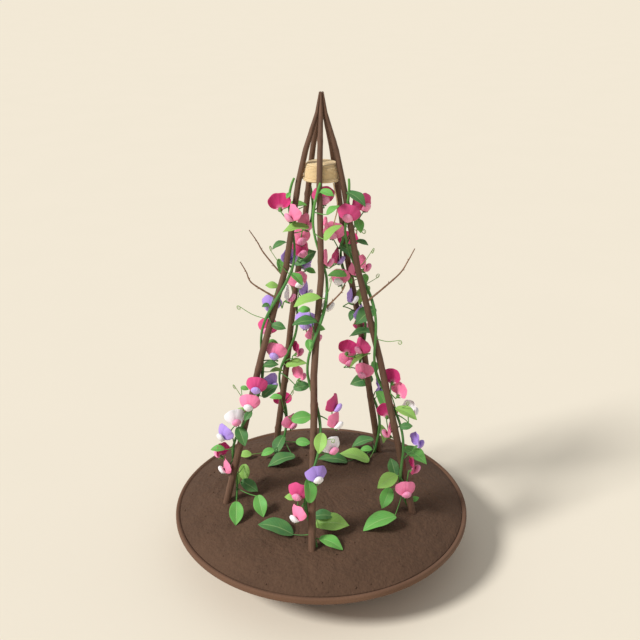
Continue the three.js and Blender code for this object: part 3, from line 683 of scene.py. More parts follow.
# %% Leaves, stems and petals
def leaf_finish():
    """Side veins are pale lines where (along - 0.64 * side) * 11 passes a whole number, and
    side is how far a place lies from the midrib. A midrib is drawn where side is near 0."""
    bench = Workbench("leaf_green", 0.52, Specular_IOR_Level=0.35)
    tint = bench.tint()
    along, across = bench.spread()
    side = bench.math("ABSOLUTE", bench.math("SUBTRACT", across, 0.5))
    lean = bench.math("SUBTRACT", along, bench.times(side, 0.64))
    vein = bench.lines(bench.times(lean, 11.0), 0.16)
    rib = bench.ramp(side, 0.035, 0.012)
    cloud = bench.noise(bench.place(), 70.0, 4.0)
    toned = bench.over(cloud, 0.35, tint, bench.mix(0.5, tint, rgb(0.30, 0.42, 0.08)))
    veined = bench.over(vein, 0.28, toned, bench.dyed(tint, rgb(1.5, 1.35, 1.5)))
    bench.colour(bench.over(rib, 0.45, veined, rgb(0.42, 0.60, 0.24)))
    bench.bump(bench.math("ADD", bench.times(vein, -0.5), bench.times(rib, -1.0)), 0.0004, 0.7)
    return bench.material


def stem_finish():
    """Green stems: the tint, with faint lengthwise streaks."""
    bench = Workbench("stem_green", 0.55, Specular_IOR_Level=0.35)
    streaks = bench.noise(bench.place((1.0, 1.0, 0.12)), 420.0, 3.0)
    bench.colour(bench.over(streaks, 0.4, bench.tint(), rgb(0.20, 0.36, 0.09)))
    bench.bump(streaks, 0.0002, 0.4)
    return bench.material


def petal_finish():
    """Veins fan out from the claw: dark lines where 26 times the place across, bent by noise,
    passes a whole number. They are strongest near the claw."""
    bench = Workbench("petal", 0.6, Sheen_Weight=0.05, Specular_IOR_Level=0.18)
    tint = bench.tint()
    out, fan = bench.spread()
    wobble = bench.noise(bench.place(), 160.0, 2.0, 0.2, 0.8)
    bent = bench.math("ADD", bench.times(fan, 26.0), bench.times(wobble, 0.8))
    vein = bench.lines(bent, 0.2)
    fade = bench.times(vein, bench.math("SUBTRACT", 1.15, out))
    deep = bench.dyed(tint, rgb(0.82, 0.66, 0.78))
    cloud = bench.noise(bench.place(), 60.0, 3.0)
    soft = bench.over(cloud, 0.15, tint, deep)
    bench.colour(bench.over(fade, 0.4, soft, deep))
    bench.bump(bench.times(vein, -1.0), 0.00025, 0.5)
    return bench.material


LEAF, STEM, PETAL = leaf_finish(), stem_finish(), petal_finish()
print("finishes:", [each.name for each in (LEAF, STEM, PETAL)])

# %% [markdown]
# ## The bowl
#
# A thrown bowl is one profile turned round the axis. A lathe tool would give a perfect form, so
# the profile is turned here by a formula that can also leave the faint rings of the potter's
# fingers on the wall and make the rim a little uneven. The rim band is rounded over.

# %% Turn the bowl
def rounded(profile, radius, steps=5):
    """Each corner of a closed profile becomes a curve: the stretch within the radius of the
    corner is a quadratic arc."""
    profile = np.asarray(profile, float)
    before = np.roll(profile, 1, axis=0) - profile
    after = np.roll(profile, -1, axis=0) - profile
    shorter = np.minimum(np.linalg.norm(before, axis=1), np.linalg.norm(after, axis=1))
    reach = np.minimum(shorter * 0.45, radius)[:, None, None]
    t = np.linspace(0, 1, steps)[None, :, None]
    middle = profile[:, None]
    start, end = middle + unit(before)[:, None] * reach, middle + unit(after)[:, None] * reach
    return arc(start, middle, end, t).reshape(-1, 2)


def densely(profile, step):
    """A closed profile with a point every few millimetres."""
    closed = np.concatenate([profile, profile[:1]])
    length = np.r_[0, np.cumsum(np.linalg.norm(np.diff(closed, axis=0), axis=1))]
    at = np.unique(np.r_[length, np.arange(0, length[-1], step)])
    return np.stack([np.interp(at, length, closed[:, k]) for k in (0, 1)], -1)


BAND_LOW, THROWING_RING, RIM_UNEVEN = BOWL_HEIGHT - RIM_BAND, 0.35, 0.5
bowl_corners = [
    (DRAIN_R, 0), (BOWL_FOOT_R, 0), (BOWL_RIM_R - RIM_PROUD - 1, BAND_LOW), (BOWL_RIM_R - 2, BAND_LOW + 2),
    (BOWL_RIM_R, BAND_LOW + 5), (BOWL_RIM_R, BOWL_HEIGHT - 3), (BOWL_RIM_R - 2, BOWL_HEIGHT),
    (BOWL_MOUTH_R, BOWL_HEIGHT), (FLOOR_R, FLOOR_THICK), (DRAIN_R, FLOOR_THICK),
]
bowl_profile = densely(rounded(bowl_corners, 3.5), 4.0)
around = circle(168)
out, rise = bowl_profile[:, :1], bowl_profile[:, 1:]
on_wall = (rise > 6) * (rise < BAND_LOW - 4)
thrown = THROWING_RING * np.sin(rise * 0.9 + 0.4 * np.sin(around * 2)) * on_wall
uneven = RIM_UNEVEN * np.sin(3 * around + 0.7) * np.clip(rise / BOWL_HEIGHT, 0, 1)
wall = turned(out + (thrown + uneven) * (out > DRAIN_R + 5), around, rise - SOIL_LEVEL)
bowl = make_piece("clay_bowl", [patch(wall, (1, 1, 1), wrap=True)], [CLAY])
dress(bowl, "clay", "bowl")
print("bowl:", len(bowl.data.polygons), "faces")

# %% [markdown]
# ## The soil
#
# The heap is a low dome that falls away to the rim. A picture of soil would look flat from the
# side, so the skin is moved up and down: three octaves of lattice noise make it crumbly.

# %% Heap the soil
def lattice_noise(x, y, size, seed):
    """Random heights at the corners of a square lattice, blended between them by the smooth
    step 3 s^2 - 2 s^3."""
    u, v = x / size, y / size
    i, j = np.floor(u), np.floor(v)
    s, t = u - i, v - j
    s, t = s * s * (3 - 2 * s), t * t * (3 - 2 * t)

    def corner(a, b):
        """The fraction part of a large sine of the corner's two numbers and the seed."""
        value = np.sin(a * 127.1 + b * 311.7 + seed * 17.3) * 43758.5453
        return value - np.floor(value)

    low = corner(i, j) * (1 - s) + corner(i + 1, j) * s
    high = corner(i, j + 1) * (1 - s) + corner(i + 1, j + 1) * s
    return low * (1 - t) + high * t - 0.5


def soil_height(x, y):
    """The plain model's dome and shallow lumps."""
    r = np.hypot(x, y)
    lumps = 1.5 * np.sin(x / 37 + 1) * np.cos(y / 43) + 0.9 * np.sin((x - 2 * y) / 29)
    fade = np.clip((HEAP_R - r) / 60, 0, 1)
    return HEAP_TOP - HEAP_FALL * (r / HEAP_R) ** HEAP_POWER + lumps * fade


def crumbly(x, y):
    """Three layers of noise, each finer and lower than the one before."""
    return (1.8 * lattice_noise(x, y, 15.0, 1) + 1.5 * lattice_noise(x, y, 7.0, 2)
            + 1.1 * lattice_noise(x, y, 3.6, 3))


HEAP_EDGE = HEAP_TOP - HEAP_FALL
spokes = circle(400)
rings = np.r_[0, np.sqrt(np.linspace(0.0004, 1, 112)) * HEAP_R][:, None]
x, y = rings * np.cos(spokes), rings * np.sin(spokes)
edge = np.clip((HEAP_R - rings) / 6, 0, 1)
skin = np.stack([x, y, soil_height(x, y) + crumbly(x, y) * edge * (rings > 0)], -1)
under = np.array([(HEAP_R - 5, HEAP_EDGE - 14), (HEAP_R - 20, HEAP_EDGE - 30), (0, HEAP_EDGE - 30)])
heap = np.concatenate([skin, turned(under[:, :1], spokes, under[:, 1:])])
print("soil skin:", heap.shape[0], "rings of", heap.shape[1])

# %% [markdown]
# Loose crumbs lie half sunk on the skin: small balls, each squashed and dented by its own draw.
# The draw is seeded, so every run scatters the same crumbs. They are few and coarse, because
# each shows as a speck.

# %% Scatter crumbs
draw = np.random.default_rng(7)
CRUMBS, CRUMB_RINGS, CRUMB_SIDES = 260, 5, 6
CRUMB_SMALL, CRUMB_GROWTH = 1.1, 1.6
polar = np.linspace(0, np.pi, CRUMB_RINGS)[:, None]
ball = turned(np.sin(polar), circle(CRUMB_SIDES), np.cos(polar))
crumb_r = HEAP_R * 0.985 * np.sqrt(draw.random(CRUMBS))
crumb_a = 2 * np.pi * draw.random(CRUMBS)
size = CRUMB_SMALL + CRUMB_GROWTH * draw.random(CRUMBS) ** 3
squash = 0.7 + 0.5 * draw.random((CRUMBS, 3))
lump = 1 + 0.25 * (draw.random((CRUMBS, CRUMB_RINGS, CRUMB_SIDES)) - 0.5)
lump[:, 0], lump[:, -1] = lump[:, 0, :1], lump[:, -1, :1]
seat = turned(crumb_r, crumb_a, 0.1 * size)
seat[:, 2] += soil_height(seat[:, 0], seat[:, 1]) + crumbly(seat[:, 0], seat[:, 1])
crumbs = ball * (size[:, None] * squash)[:, None, None, :] * lump[..., None] + seat[:, None, None, :]
soil_patches = [patch(each, (1, 1, 1), wrap=True) for each in (heap, *crumbs)]
soil = dress(make_piece("heaped_soil", soil_patches, [SOIL]), "soil", "soil")
print("soil:", len(soil.data.polygons), "faces,", CRUMBS, "crumbs")

# %% [markdown]
# ## The rods
#
# A cut rod keeps its bark. It is nearly round, with shallow ribs, a swelling at each node
# and small knobs where side shoots were trimmed. A cylinder would show none of that against
# the light, so the radius is a function of height and angle.

# %% Shape a rod
BARK_NODES, NODE_FIRST, NODE_GAP, NODE_DRIFT = 7, 60.0, 118.0, 17.0
ROD_RINGS, ROD_SIDES, SIDEWAYS = 300, 22, np.array([1.0, 0.0, 0.0])


def rod_patch(side, number):
    """The radius is the taper times 1 + ribs + crook + node swellings + trimmed knobs. A
    swelling is a bell curve of the height, and a knob is one of the height and the angle."""
    heights, count = np.linspace(-ROD_SUNK + 2, ROD_TOP, ROD_RINGS), np.arange(BARK_NODES)
    h, a = heights[:, None], circle(ROD_SIDES)[None, :]
    nodes = NODE_FIRST + NODE_GAP * count + NODE_DRIFT * np.sin(3.1 * number + 2.0 * count)
    swelling = np.exp(-(((h - nodes) / 5.0) ** 2)).sum(axis=1, keepdims=True)
    round_from_knob = np.angle(np.exp(1j * (a[..., None] - 2.4 * count - number)))
    up_from_knob = h[..., None] - nodes - 3
    knobs = np.exp(-((up_from_knob / 4.0) ** 2) - (round_from_knob / 0.5) ** 2).sum(axis=-1)
    ribs = 0.022 * np.sin(5 * a + 0.013 * h + number) + 0.014 * np.sin(9 * a - 0.021 * h)
    crook = 0.02 * np.sin(h / 31 + number) * np.cos(a)
    return tube(rod_middle(side, heights), rod_radius(heights), ROD_SIDES,
                swell=1 + ribs + crook + 0.07 * swelling + 0.2 * knobs, held=SIDEWAYS)


print("bark nodes about every", NODE_GAP, "mm")

# %% [markdown]
# One thin bare twig was left on each rod. It leaves at the height in its row and bends at its
# elbow, and three short spurs stand out from it.

# %% Grow the rods and twigs
TWIG_PALE = np.array([1.75, 1.8, 1.75])
TWIG_ROOT_R, TWIG_THINS, TWIG_RINGS = 2.3, 1.4, 80
SPURS = ((26, 1), (44, -1), (60, 1))


def twig_patches(side, number):
    """A crooked path from the rod through the elbow to the tip, thinner as it goes, with a
    small bud every so often."""
    height, elbow, tip = TWIGS[side]
    root = rod_middle(side, height)
    bend, end = root + (elbow[0], elbow[2], elbow[1]), root + (tip[0], tip[2], tip[1])
    sag, bulge = (root + bend) / 2 + (0, 0, -1.5), (bend + end) / 2 + (1.2, 0, 0)
    path = smooth_path([root, sag, bend, bulge, end], TWIG_RINGS)
    share = np.linspace(0, 1, TWIG_RINGS)
    buds = np.exp(-((np.mod(share * 9 + number, 1.0) - 0.5) / 0.09) ** 2)
    thick = TWIG_ROOT_R - TWIG_THINS * share**0.7
    patches = [tube(path, thick * (1 + 0.2 * buds), 10, TWIG_PALE)]
    for at, way in SPURS:
        onward = path[at + 1] - path[at]
        out = unit(np.cross(onward, (0, 1, 0))) * way + unit(onward)
        spur = path[at] + unit(out) * np.linspace(0, 7.5 - 0.06 * at, 7)[:, None]
        patches.append(tube(spur, np.linspace(0.9, 0.35, 7), 7, TWIG_PALE))
    return patches


for number, side in enumerate(ROD_BEARING):
    patches = [rod_patch(side, number)] + twig_patches(side, number)
    rod = dress(make_piece(f"bark_rod_{side}", patches, [BARK]), "bark", f"rod_{side}")
print("rods:", len(rod.data.polygons), "faces each")

# %% [markdown]
# ## The twine
#
# Jute twine is three strands twisted together. Its cross-section has three lobes that turn as it goes
# along. The band is one long helix inside the rods that ends in a flat spiral across the top, both by
# formula, so the whole winding is one tube. A plain core fills the middle, painted darker than the straw as
# painted shade in the gaps between the turns.

# %% How the twine lies
# The darker straw colour is painted shade for the grooves between the strands.
STRAW, STRAW_PAINTED_SHADE = np.array([0.93, 0.71, 0.40]), np.array([0.66, 0.48, 0.25])
LAY_LENGTH, PITCH, SKIN_GAP = 7.5, 2 * TWINE_R, 0.2
TWINE_STEPS, TWINE_REACH = (689.0, 691.0, 711.0, 712.5), (37.2, 33.0, 33.0, 28.6)


def strands(path, sides, radius, held=None):
    """A twisted tube: its radius is 0.84 + 0.16 |cos 1.5(a - twist)| of the full one, and the twist turns
    once in a lay length. Its tint is painted shade: it goes from the straw colour on the lobes to the
    darker straw colour in the grooves between the strands."""
    gone = np.r_[0, np.cumsum(np.linalg.norm(np.diff(path, axis=0), axis=1))]
    lobe = np.abs(np.cos(1.5 * (circle(sides) - 2 * np.pi * gone[:, None] / LAY_LENGTH)))
    made = tube(path, radius, sides, swell=0.84 + 0.16 * lobe, held=held)
    shade = np.concatenate([lobe[:1], lobe, lobe[-1:]])
    made["tint"] = blend(STRAW_PAINTED_SHADE, STRAW, 0.15 + 0.95 * shade)
    return made


def inside_rods(height):
    """The room left inside the ring of rods, less a hair."""
    ring = np.linalg.norm(rod_middle("front", height)[..., :2], axis=-1)
    return ring - rod_radius(height) * 1.03 - 0.4


def wound_reach(height, angle):
    """How far the winding stands out: wide in its lowest turns, then straight up, then smaller
    in its last turns. Where the rods leave less room it dips in behind each of the five."""
    wanted = np.interp(height, TWINE_STEPS, TWINE_REACH)
    dip = np.maximum(0, wanted - inside_rods(height))
    behind = 0.5 + 0.5 * np.cos(5 * (angle - math.radians(ROD_BEARING["front"])))
    return wanted - dip * behind


TAIL_ROUTE = [
    (22, -23, 683), (25, -26, 668), (29, -29, 650), (29, -30, 632), (25, -32, 615), (22, -33, 598),
]
print("twine:", 2 * TWINE_R, "mm thick, its strands turn once in", LAY_LENGTH, "mm")

# %% Wind the twine
turns = (TWINE_TOP - TWINE_LOW - 2 * TWINE_R) / PITCH
winding = np.linspace(0, 2 * np.pi * turns, 2200)
coil_z = TWINE_LOW + TWINE_R + PITCH * winding / (2 * np.pi)
coil_a = winding + math.atan2(TAIL_ROUTE[0][1], TAIL_ROUTE[0][0])
slack = SKIN_GAP * (np.sin(7.3 * winding) - 1)
coil_r = wound_reach(coil_z + TWINE_R / 2, coil_a) - TWINE_R + slack
lid_r = np.linspace(coil_r[-1], TWINE_R, 1100)
lid_a = coil_a[-1] + (lid_r[0] - lid_r) * 2 * np.pi / PITCH
lid_z = coil_z[-1] + 0.35 * np.sin(5.0 * lid_a) * np.sin(np.pi * lid_r / lid_r[0])
coil = turned(np.r_[coil_r, lid_r[1:]], np.r_[coil_a, lid_a[1:]], np.r_[coil_z, lid_z[1:]])
wound = strands(coil, 12, TWINE_R * 1.08, held=np.array([0.0, 0.0, 1.0]))

CORE_RINGS, CORE_INSIDE = 44, 2.2
hoop = circle(90)
between = np.linspace(TWINE_LOW + 0.7, TWINE_TOP - 1.6, CORE_RINGS)
core_z = np.r_[TWINE_LOW + 0.5, between, TWINE_TOP - 1.4][:, None]
core_r = (wound_reach(core_z, hoop) - CORE_INSIDE) * np.r_[0, np.ones(CORE_RINGS), 0][:, None]
# The core is painted at 0.8 of the straw colour, as painted shade where it shows between the turns.
core = patch(turned(core_r, hoop, core_z), STRAW * 0.8, wrap=True)
dress(make_piece("wound_twine", [wound, core], [TWINE]), "twine", "twine_coil")
print("twine: a winding of", round(turns), "turns")

# %% [markdown]
# The loose end hangs from the lowest turn. It is a cord of its own, limp, with a bare end, and
# its route is the few points that the picture shows, joined by one smooth curve.

# %% Hang the loose end
tail_path = smooth_path(TAIL_ROUTE, 120)
tail = make_piece("twine_end", [strands(tail_path, 15, TWINE_R)], [TWINE])
dress(tail, "twine", "twine_tail")
tuple(lift(tail_path[0]))
[tuple(p) for p in lift(tail_path)]

# %% [markdown]
# ## The climbing stems
#
# A sweet pea's stem is winged: two thin ridges run along it. So its cross-section is a circle
# with two narrow swellings, which turn slowly as the stem winds. Leaves, tendrils and the long
# stalks of the sprays are patches of the same piece, as they grow from it.

# %% Stems
GREEN_OLD, GREEN_YOUNG = np.array([0.045, 0.19, 0.042]), np.array([0.10, 0.33, 0.06])
STEM_RINGS, STEM_SIDES, END_RINGS, STEM_THINS, STEM_FOOT_END = 320, 14, 6, 0.7, -20.0


def stem_patch(side):
    """The stem's line, with a radius of 0.96 + 0.24 cos^8 of the angle to its two wings. The
    last two millimetres round off."""
    tip = STEM_TOP - 2 * np.linspace(0.86, 0, END_RINGS) ** 2
    heights = np.r_[np.linspace(STEM_FOOT_END, STEM_TOP - 2, STEM_RINGS), tip]
    share = np.clip(heights / STEM_TOP, 0, 1)
    wings = np.cos(circle(STEM_SIDES) - heights[:, None] / 60) ** 8
    radius = STEM_R - STEM_THINS * share**4
    radius[-END_RINGS:] *= np.sqrt(1 - np.linspace(0.14, 0.98, END_RINGS) ** 2)
    return tube(stem_middle(side, heights), radius, STEM_SIDES,
                blend(GREEN_OLD, GREEN_YOUNG, share**6), 1, swell=0.96 + 0.24 * wings, held=SIDEWAYS)


print("a stem's patch:", stem_patch("front")["points"].shape)

# %% [markdown]
# ## Leaves
#
# A leaflet is a thin blade. It could be a flat card with a picture on it, but its fold and arch
# catch the light, so it is a grid whose length runs along the midrib and whose width runs from
# edge to edge. A short stalk joins it to the stem.

# %% Leaves
TONES = {"l": (0.27, 0.50, 0.105), "m": (0.13, 0.41, 0.080), "d": (0.050, 0.175, 0.048)}
LEAF_THICK, LEAF_ARCH, LEAF_FOLD = 0.55, 0.1, 0.24
LEAF_STALK_R, LEAF_STALK_RINGS = 1.5, 9
UP_BACK = np.array([0.0, 1.0, 1.0]) / math.sqrt(2)
UP_FRONT = np.array([0.0, -1.0, 1.0]) / math.sqrt(2)


def leaf_patches(side, row, number):
    """The half-width is 0.3 of the length times sin(pi s^0.9) to a power that grows to the tip
    and sharpens it. The leaf arches along its midrib, folds up to both edges, and its edges
    wave. Its face is UP_FRONT turned by the roll towards the edge that points up."""
    height, sideways, forward, length, lie, roll, tone = row
    lie, roll = math.radians(lie), math.radians(roll)
    axis = math.cos(lie) * SIDEWAYS + math.sin(lie) * UP_BACK
    edge = np.cross(UP_FRONT, axis)
    edge = -edge if edge[2] < -1e-9 else edge
    face = math.cos(roll) * UP_FRONT + math.sin(roll) * edge
    across = np.cross(axis, face)
    base = beside_rod(side, height, sideways, forward) - axis * length / 2
    root = spring_point(side, base, LEAF_REACH, LEAF_STALK_R, face)
    s, v = blade_steps(0.015, 0.985, 23, 0.96, 11)
    half = 0.5 * LEAF_ASPECT * length * np.sin(np.pi * s**0.9) ** (0.5 + 0.45 * s) + 0.12
    wave = 0.015 * length * v**2 * np.sin(11 * s + 2.2 * np.sign(v) + 2.4 * number)
    lift_up = LEAF_ARCH * length * np.sin(np.pi * s) + LEAF_FOLD * np.abs(v) ** 1.2 * half + wave
    grid = (base + axis * (length * s)[..., None] + across * (v * half)[..., None]
            + face * lift_up[..., None])
    colour = varied(TONES[tone], 0.06, 1.7 * number)
    tint = blend(colour, colour * 1.15 + 0.005, 0.5 * np.abs(v) ** 4 + 0.3 * s)
    sag = np.linspace(0, 1, LEAF_STALK_RINGS)[:, None]
    way = base + axis * 0.06 * length - root
    stalk = root + way * sag - (0, 0, 1) * (0.05 * np.linalg.norm(way) * np.sin(np.pi * sag))
    return shell(grid, LEAF_THICK, tint, tint * 1.12 + 0.006) + [
        tube(stalk, np.linspace(1.15, 0.7, LEAF_STALK_RINGS), 7, blend(GREEN_OLD, colour, sag[:, 0]), 1)]


print("leaf tones:", TONES)

# %% [markdown]
# ## Tendrils
#
# A tendril feels its way out in a nearly straight line and curls up at its end. The curl is a
# spiral by formula, which joins the line without a kink.

# %% Tendrils
TENDRIL_TIP, TENDRIL_REACH, TENDRIL_R = np.array([0.30, 0.46, 0.13]), 34.0, 1.0
CURL_R, CURL_TIGHTENS, CURL_TURNS, CURL_DRIFT = 4.4, 0.24, 1.8, 0.35


def tendril_patch(side, row, number):
    """A thin line from the stem to its far end, then a curl: a circle in the upright plane
    of the tendril whose radius shrinks as it turns, and which drifts aside."""
    end = beside_rod(side, *row)
    root = spring_point(side, end, TENDRIL_REACH, TENDRIL_R)
    away = end - root
    hook = unit(away)
    swing = 1 if number % 2 else -1
    reach = smooth_path([root, root + away * 0.5 + (0, 0, -4), end], 40)
    w = np.linspace(0, 2 * CURL_TURNS * np.pi, 60)[:, None]
    radius = CURL_R - CURL_TIGHTENS * w
    aside = unit(np.cross(hook, (0, 0, 1)))
    rise = np.array([0, 0, swing]) * (CURL_R - radius * np.cos(w))
    curl = end + hook * (radius * np.sin(w)) + rise + aside * CURL_DRIFT * w
    path = np.concatenate([reach, curl[1:]])
    thin = np.linspace(0.85, 0.32, len(path))
    paler = blend(GREEN_YOUNG, TENDRIL_TIP, np.linspace(0, 1.6, len(path)))
    return tube(path, thin, 7, paler, 1, held=aside)


print("tendrils curl round", 2 * CURL_R, "mm")

# %% [markdown]
# ## The blooms
#
# A sweet pea bloom has one broad standard petal that stands up at the back, two wings in
# front of it, and between them a small boat-shaped keel. All are drawn in the bloom's own
# directions: x to its right, y up and z outward, from the claw where the petals meet. So one
# formula for each petal serves all sixty blooms, and the bloom's number varies it a little.

# %% A bloom's colours and directions
LEAN_BACK, ROLL_MOST, PETAL_THICK = 10.0, 12.0, 0.5
STANDARD = {M: (0.70, 0.048, 0.215), P: (0.96, 0.235, 0.42), L: (0.45, 0.29, 0.80), W: (0.99, 0.97, 0.98)}
WING = {M: (0.72, 0.08, 0.27), P: (0.97, 0.33, 0.54), L: (0.56, 0.39, 0.90), W: (0.99, 0.98, 0.98)}


def bloom_axes(row, side, number):
    """A function from a bloom's own (x, y, z) to the planting's space. The bloom leans back by
    10 cos(bearing) degrees, so every one leans away from the front, and rolls by 12 sin(2.4 n)
    degrees."""
    height, sideways, forward, _, _, faces = row
    bearing = math.radians(faces)
    back = math.radians(LEAN_BACK) * math.cos(bearing)
    roll = math.radians(ROLL_MOST * math.sin(2.4 * number))
    out = np.array([math.sin(bearing), -math.cos(bearing), 0.0])
    right = np.array([math.cos(bearing), math.sin(bearing), 0.0])
    up = np.array([0.0, 0.0, 1.0])
    rise_way = up * math.cos(back) - out * math.sin(back)
    fore = out * math.cos(back) + up * math.sin(back)
    across = right * math.cos(roll) + rise_way * math.sin(roll)
    upward = rise_way * math.cos(roll) - right * math.sin(roll)
    claw = beside_rod(side, height, sideways, forward) - upward * CLAW_BELOW

    def put(x, y, z):
        """The claw's place, plus x across, y upward and z forward."""
        x, y, z = np.broadcast_arrays(*(np.asarray(each, float) for each in (x, y, z)))
        return claw + x[..., None] * across + y[..., None] * upward + z[..., None] * fore

    return put


print("standard petals:", list(STANDARD))

# %% The standard
def standard_patches(put, colour, number):
    """The rim is an ellipse, (21.5 sin b, 16 + 16 cos b) less a slight notch at the top, and
    the petal fills it from the claw. It is cupped forward, its sides turn back, a crease runs
    up its middle, and its rim ruffles by two sines of b."""
    u, v = blade_steps(0.06, 0.975, 15, 0.985, 41)
    b = np.radians(146 * v)
    notch = np.exp(-((v / 0.12) ** 2))
    rim = 1 + 0.018 * np.sin(6 * b + number) * u**2
    x = STANDARD_WIDE / 2 * np.sin(b) * u * rim
    y = (STANDARD_TALL / 2 * (1 + np.cos(b)) - notch) * u * rim
    ruffle = u**3 * (0.9 * np.sin(5 * b + 1.3 * number) + 0.4 * np.sin(11 * b + 2.1 * number))
    crease = -0.7 * np.exp(-((v / 0.05) ** 2)) * np.sin(np.pi * u * 0.8)
    z = 2.5 * np.sin(np.pi * u) - 5.5 * (x / 20) ** 2 - 1.5 + ruffle + crease
    base = varied(STANDARD[colour], 0.07, 1.9 * number)
    pale = blend(base, (0.93, 0.80, 0.78), 0.55)
    tint = blend(blend(pale, base, u / 0.35), base * 1.12, (u - 0.8) * 3 + 0 * v)
    return shell(put(x, y, z), PETAL_THICK, tint, blend(base, (0.9, 0.75, 0.8), 0.05))


print("standards:", STANDARD_WIDE, "mm wide")

# %% [markdown]
# The two wings close over the keel like cupped hands, so each is a domed half shell. The keel
# is a plain boat, because only its edge can show. The green cup behind the petals has five
# teeth.

# %% Wings, keel and cup
WING_HALF_WIDE, WING_THICK = 9.8, 0.45


def wing_patches(put, hand, colour, number):
    """A wing is half of an egg-shaped shell: angle t runs from behind the claw to the front,
    and angle p up and down. Both wings meet in front, and the pair rises as it comes forward."""
    s, q = blade_steps(0.04, 0.97, 13, 0.965, 15)
    t = np.radians(170 - 170 * s)
    p = q * np.radians(87) * np.clip(s * 1.9, 0, 1) ** 0.6 * (1 - 0.2 * s**7)
    flare = 1 + 0.04 * np.sin(5 * q + number) * s**2
    x = hand * (WING_HALF_WIDE * np.sin(t) * np.cos(p) * flare - 0.25)
    z = 0.35 * WING_LONG + 0.65 * WING_LONG * np.cos(t) * np.cos(p)
    y = 1.5 + WING_TALL / 2 * np.sin(p) * flare * np.clip(s * 1.6, 0, 1)
    y = y + WING_RISE * np.clip(z / WING_LONG, 0, 1)
    base = varied(WING[colour], 0.06, 1.3 * number + hand)
    tint = blend(blend((0.85, 0.80, 0.72), base, s / 0.3), base * 1.08, (s - 0.7) * 2 + 0 * q)
    return shell(put(x, y, z), WING_THICK, tint, blend(base, (0.95, 0.85, 0.88), 0.1))


def keel_patch(put, colour):
    """A boat: rings from the claw to the tip, narrow across, hidden between the wings."""
    s, a = np.linspace(0, 1, 12)[:, None], circle(12)
    girth = np.sin(np.pi * s) ** 0.6
    x = 2.1 * girth * np.cos(a)
    z = -2 + (WING_LONG + 1.0) * s + 0 * a
    y = 0.5 + 4.0 * girth * np.sin(a) + WING_RISE * np.clip(z / WING_LONG, 0, 1)
    base = blend(WING[colour], (0.93, 0.90, 0.74), 0.55)
    return patch(put(x, y, z), base, 0, wrap=True)


def cup_patch(put):
    """The green cup: a bell round the claw, its rim drawn out in five teeth by |cos 2.5 a|."""
    h, a = np.linspace(0, 1, 9)[:, None], circle(30)[None, :]
    tooth = np.abs(np.cos(2.5 * (a - np.pi / 2))) ** 1.6
    z = -7.5 + h * (6.0 + 5.0 * tooth * h**2)
    r = 1.1 + 3.3 * h**0.55 + 1.0 * tooth * h**4
    outer = put(r * np.cos(a), r * np.sin(a), z)
    inner = put((r - 0.5) * np.cos(a), (r - 0.5) * np.sin(a), z + 0.15)[::-1]
    foot = put(0 * a, 0 * a, -7.5 + 0 * a)
    shape = np.concatenate([foot, outer, inner, put(0 * a, 0 * a, -7.2 + 0 * a)])
    return patch(shape, GREEN_YOUNG * 0.85, 1, wrap=True)


print("wings:", WING_LONG, "mm long and", WING_TALL, "mm tall")

# %% [markdown]
# ## Sprays
#
# One or two blooms share a long stalk, which is a bowed curve of the stem's own piece. Where it
# ends, each bloom's short stalk turns to meet its cup from behind.

# %% Sprays
SPRAY_REACH, STALK_RINGS, STALK_SIDES, STALK_BOW = 24.0, 26, 9, 0.12
FORK, BEHIND_CUP, IN_CUP = (0, -9, -14), (0, -2.6, -9.5), (0, 0, -6.2)


def spray_patches(side, flowers, first):
    """A spray's blooms on short stalks that fork from one long stalk. The head is a piece of
    its own, so it starts a hair beyond the long stalk. Returns its patches and that stalk's
    path."""
    frames = [bloom_axes(row, side, first + i) for i, row in enumerate(flowers)]
    hub = np.mean([put(*FORK) for put in frames], axis=0)
    root = spring_point(side, hub, SPRAY_REACH, STALK_R)
    bow = root * 0.5 + hub * 0.5 + np.array([0, 0, STALK_BOW]) * np.linalg.norm(hub - root)
    lead = unit(hub - bow)
    long_stalk = arc(root, bow, hub, np.linspace(0, 1, STALK_RINGS)[:, None])
    start = hub + lead * HEAD_GAP
    patches = []
    for i, (row, put) in enumerate(zip(flowers, frames)):
        number = first + i
        origin = start + lead * 2 if i else start - lead * 1.0
        stops = [origin, start + lead * 5, put(*BEHIND_CUP), put(*IN_CUP)]
        greener = blend(GREEN_OLD, GREEN_YOUNG, np.linspace(0.3, 0.8, STALK_RINGS))
        thick = np.linspace(1.05, 1.25, STALK_RINGS)
        patches.append(tube(smooth_path(stops, STALK_RINGS), thick, STALK_SIDES, greener, 1))
        patches += standard_patches(put, row[3], number)
        for hand in (-1, 1):
            patches += wing_patches(put, hand, row[4], number)
        patches += [keel_patch(put, row[4]), cup_patch(put)]
    return patches, long_stalk


print("the first spray's head:", len(spray_patches("front", SPRAYS["front"][0], 0)[0]), "patches")

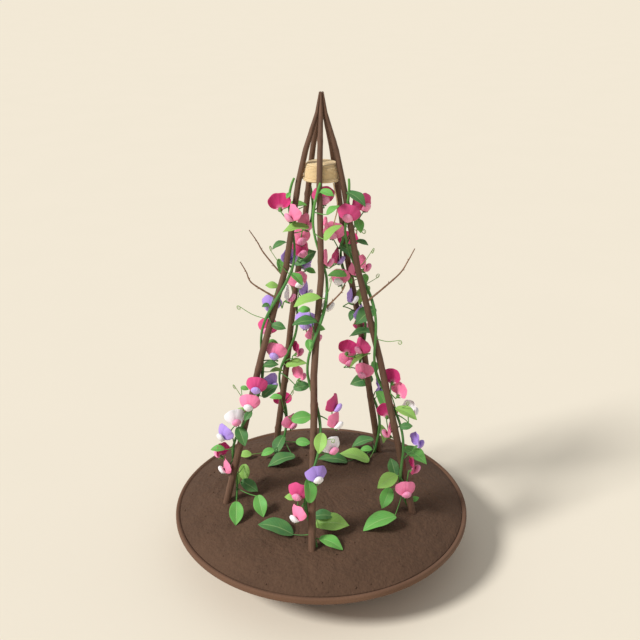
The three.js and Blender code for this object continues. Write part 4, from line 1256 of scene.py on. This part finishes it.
# %% [markdown]
# ## Put the plant together
#
# One piece for each spray and one for each climbing stem, as in the plain model, so that each
# stands for its own node. The number that varies each bloom runs on from rod to rod.

# %% Grow every stem and spray
bloom_number, faces_made, leaf_number = 0, 0, 0
for side in ROD_BEARING:
    green = [stem_patch(side)]
    for row in LEAVES[side]:
        leaf_number += 1
        green += leaf_patches(side, row, leaf_number)
    green += [tendril_patch(side, row, i) for i, row in enumerate(TENDRILS[side])]
    for i, flowers in enumerate(SPRAYS[side]):
        head, stalk = spray_patches(side, flowers, bloom_number)
        bloom_number += len(flowers)
        thick = np.linspace(1.35, 1.05, STALK_RINGS)
        green.append(tube(stalk, thick, STALK_SIDES, GREEN_OLD * 1.15, 1))
        piece = make_piece(f"blooms_{side}_{i + 1}", head, [PETAL, STEM])
        dress(piece, flowers[0][3], f"spray_{side}_{i + 1}")
        faces_made += len(piece.data.polygons)
    piece = make_piece(f"climbing_stem_{side}", green, [LEAF, STEM])
    dress(piece, "green", f"vine_{side}")
    faces_made += len(piece.data.polygons)
print("plant:", bloom_number, "blooms,", leaf_number, "leaves,", faces_made, "faces")

# %% [markdown]
# ## The floor
#
# A plain cream floor runs far past the edges of the picture. It is not attached to the planting.

# %% Floor
def floor_finish():
    """Matt cream paper with the faintest mottle."""
    bench = Workbench("cream_floor", 0.95, Specular_IOR_Level=0.0)
    mottle = bench.noise(bench.place(), 3.0, 3.0)
    bench.colour(bench.mix(mottle, rgb(0.876, 0.797, 0.656), rgb(0.884, 0.803, 0.662)))
    return bench.material


FLOOR_HALF, FLOOR_LINES = 40.0, 3
step_out = np.linspace(-FLOOR_HALF, FLOOR_HALF, FLOOR_LINES)
paper = np.stack([*np.meshgrid(step_out, step_out, indexing="ij"), np.zeros((FLOOR_LINES,) * 2)], -1)
floor_mesh = bpy.data.meshes.new("floor")
floor_quads, _ = quads_of(FLOOR_LINES, FLOOR_LINES, False)
floor_mesh.from_pydata(paper.reshape(-1, 3).tolist(), [], floor_quads.tolist())
floor_mesh.materials.append(floor_finish())
floor = placed("floor", floor_mesh)
print("floor:", 2 * FLOOR_HALF, "m wide")
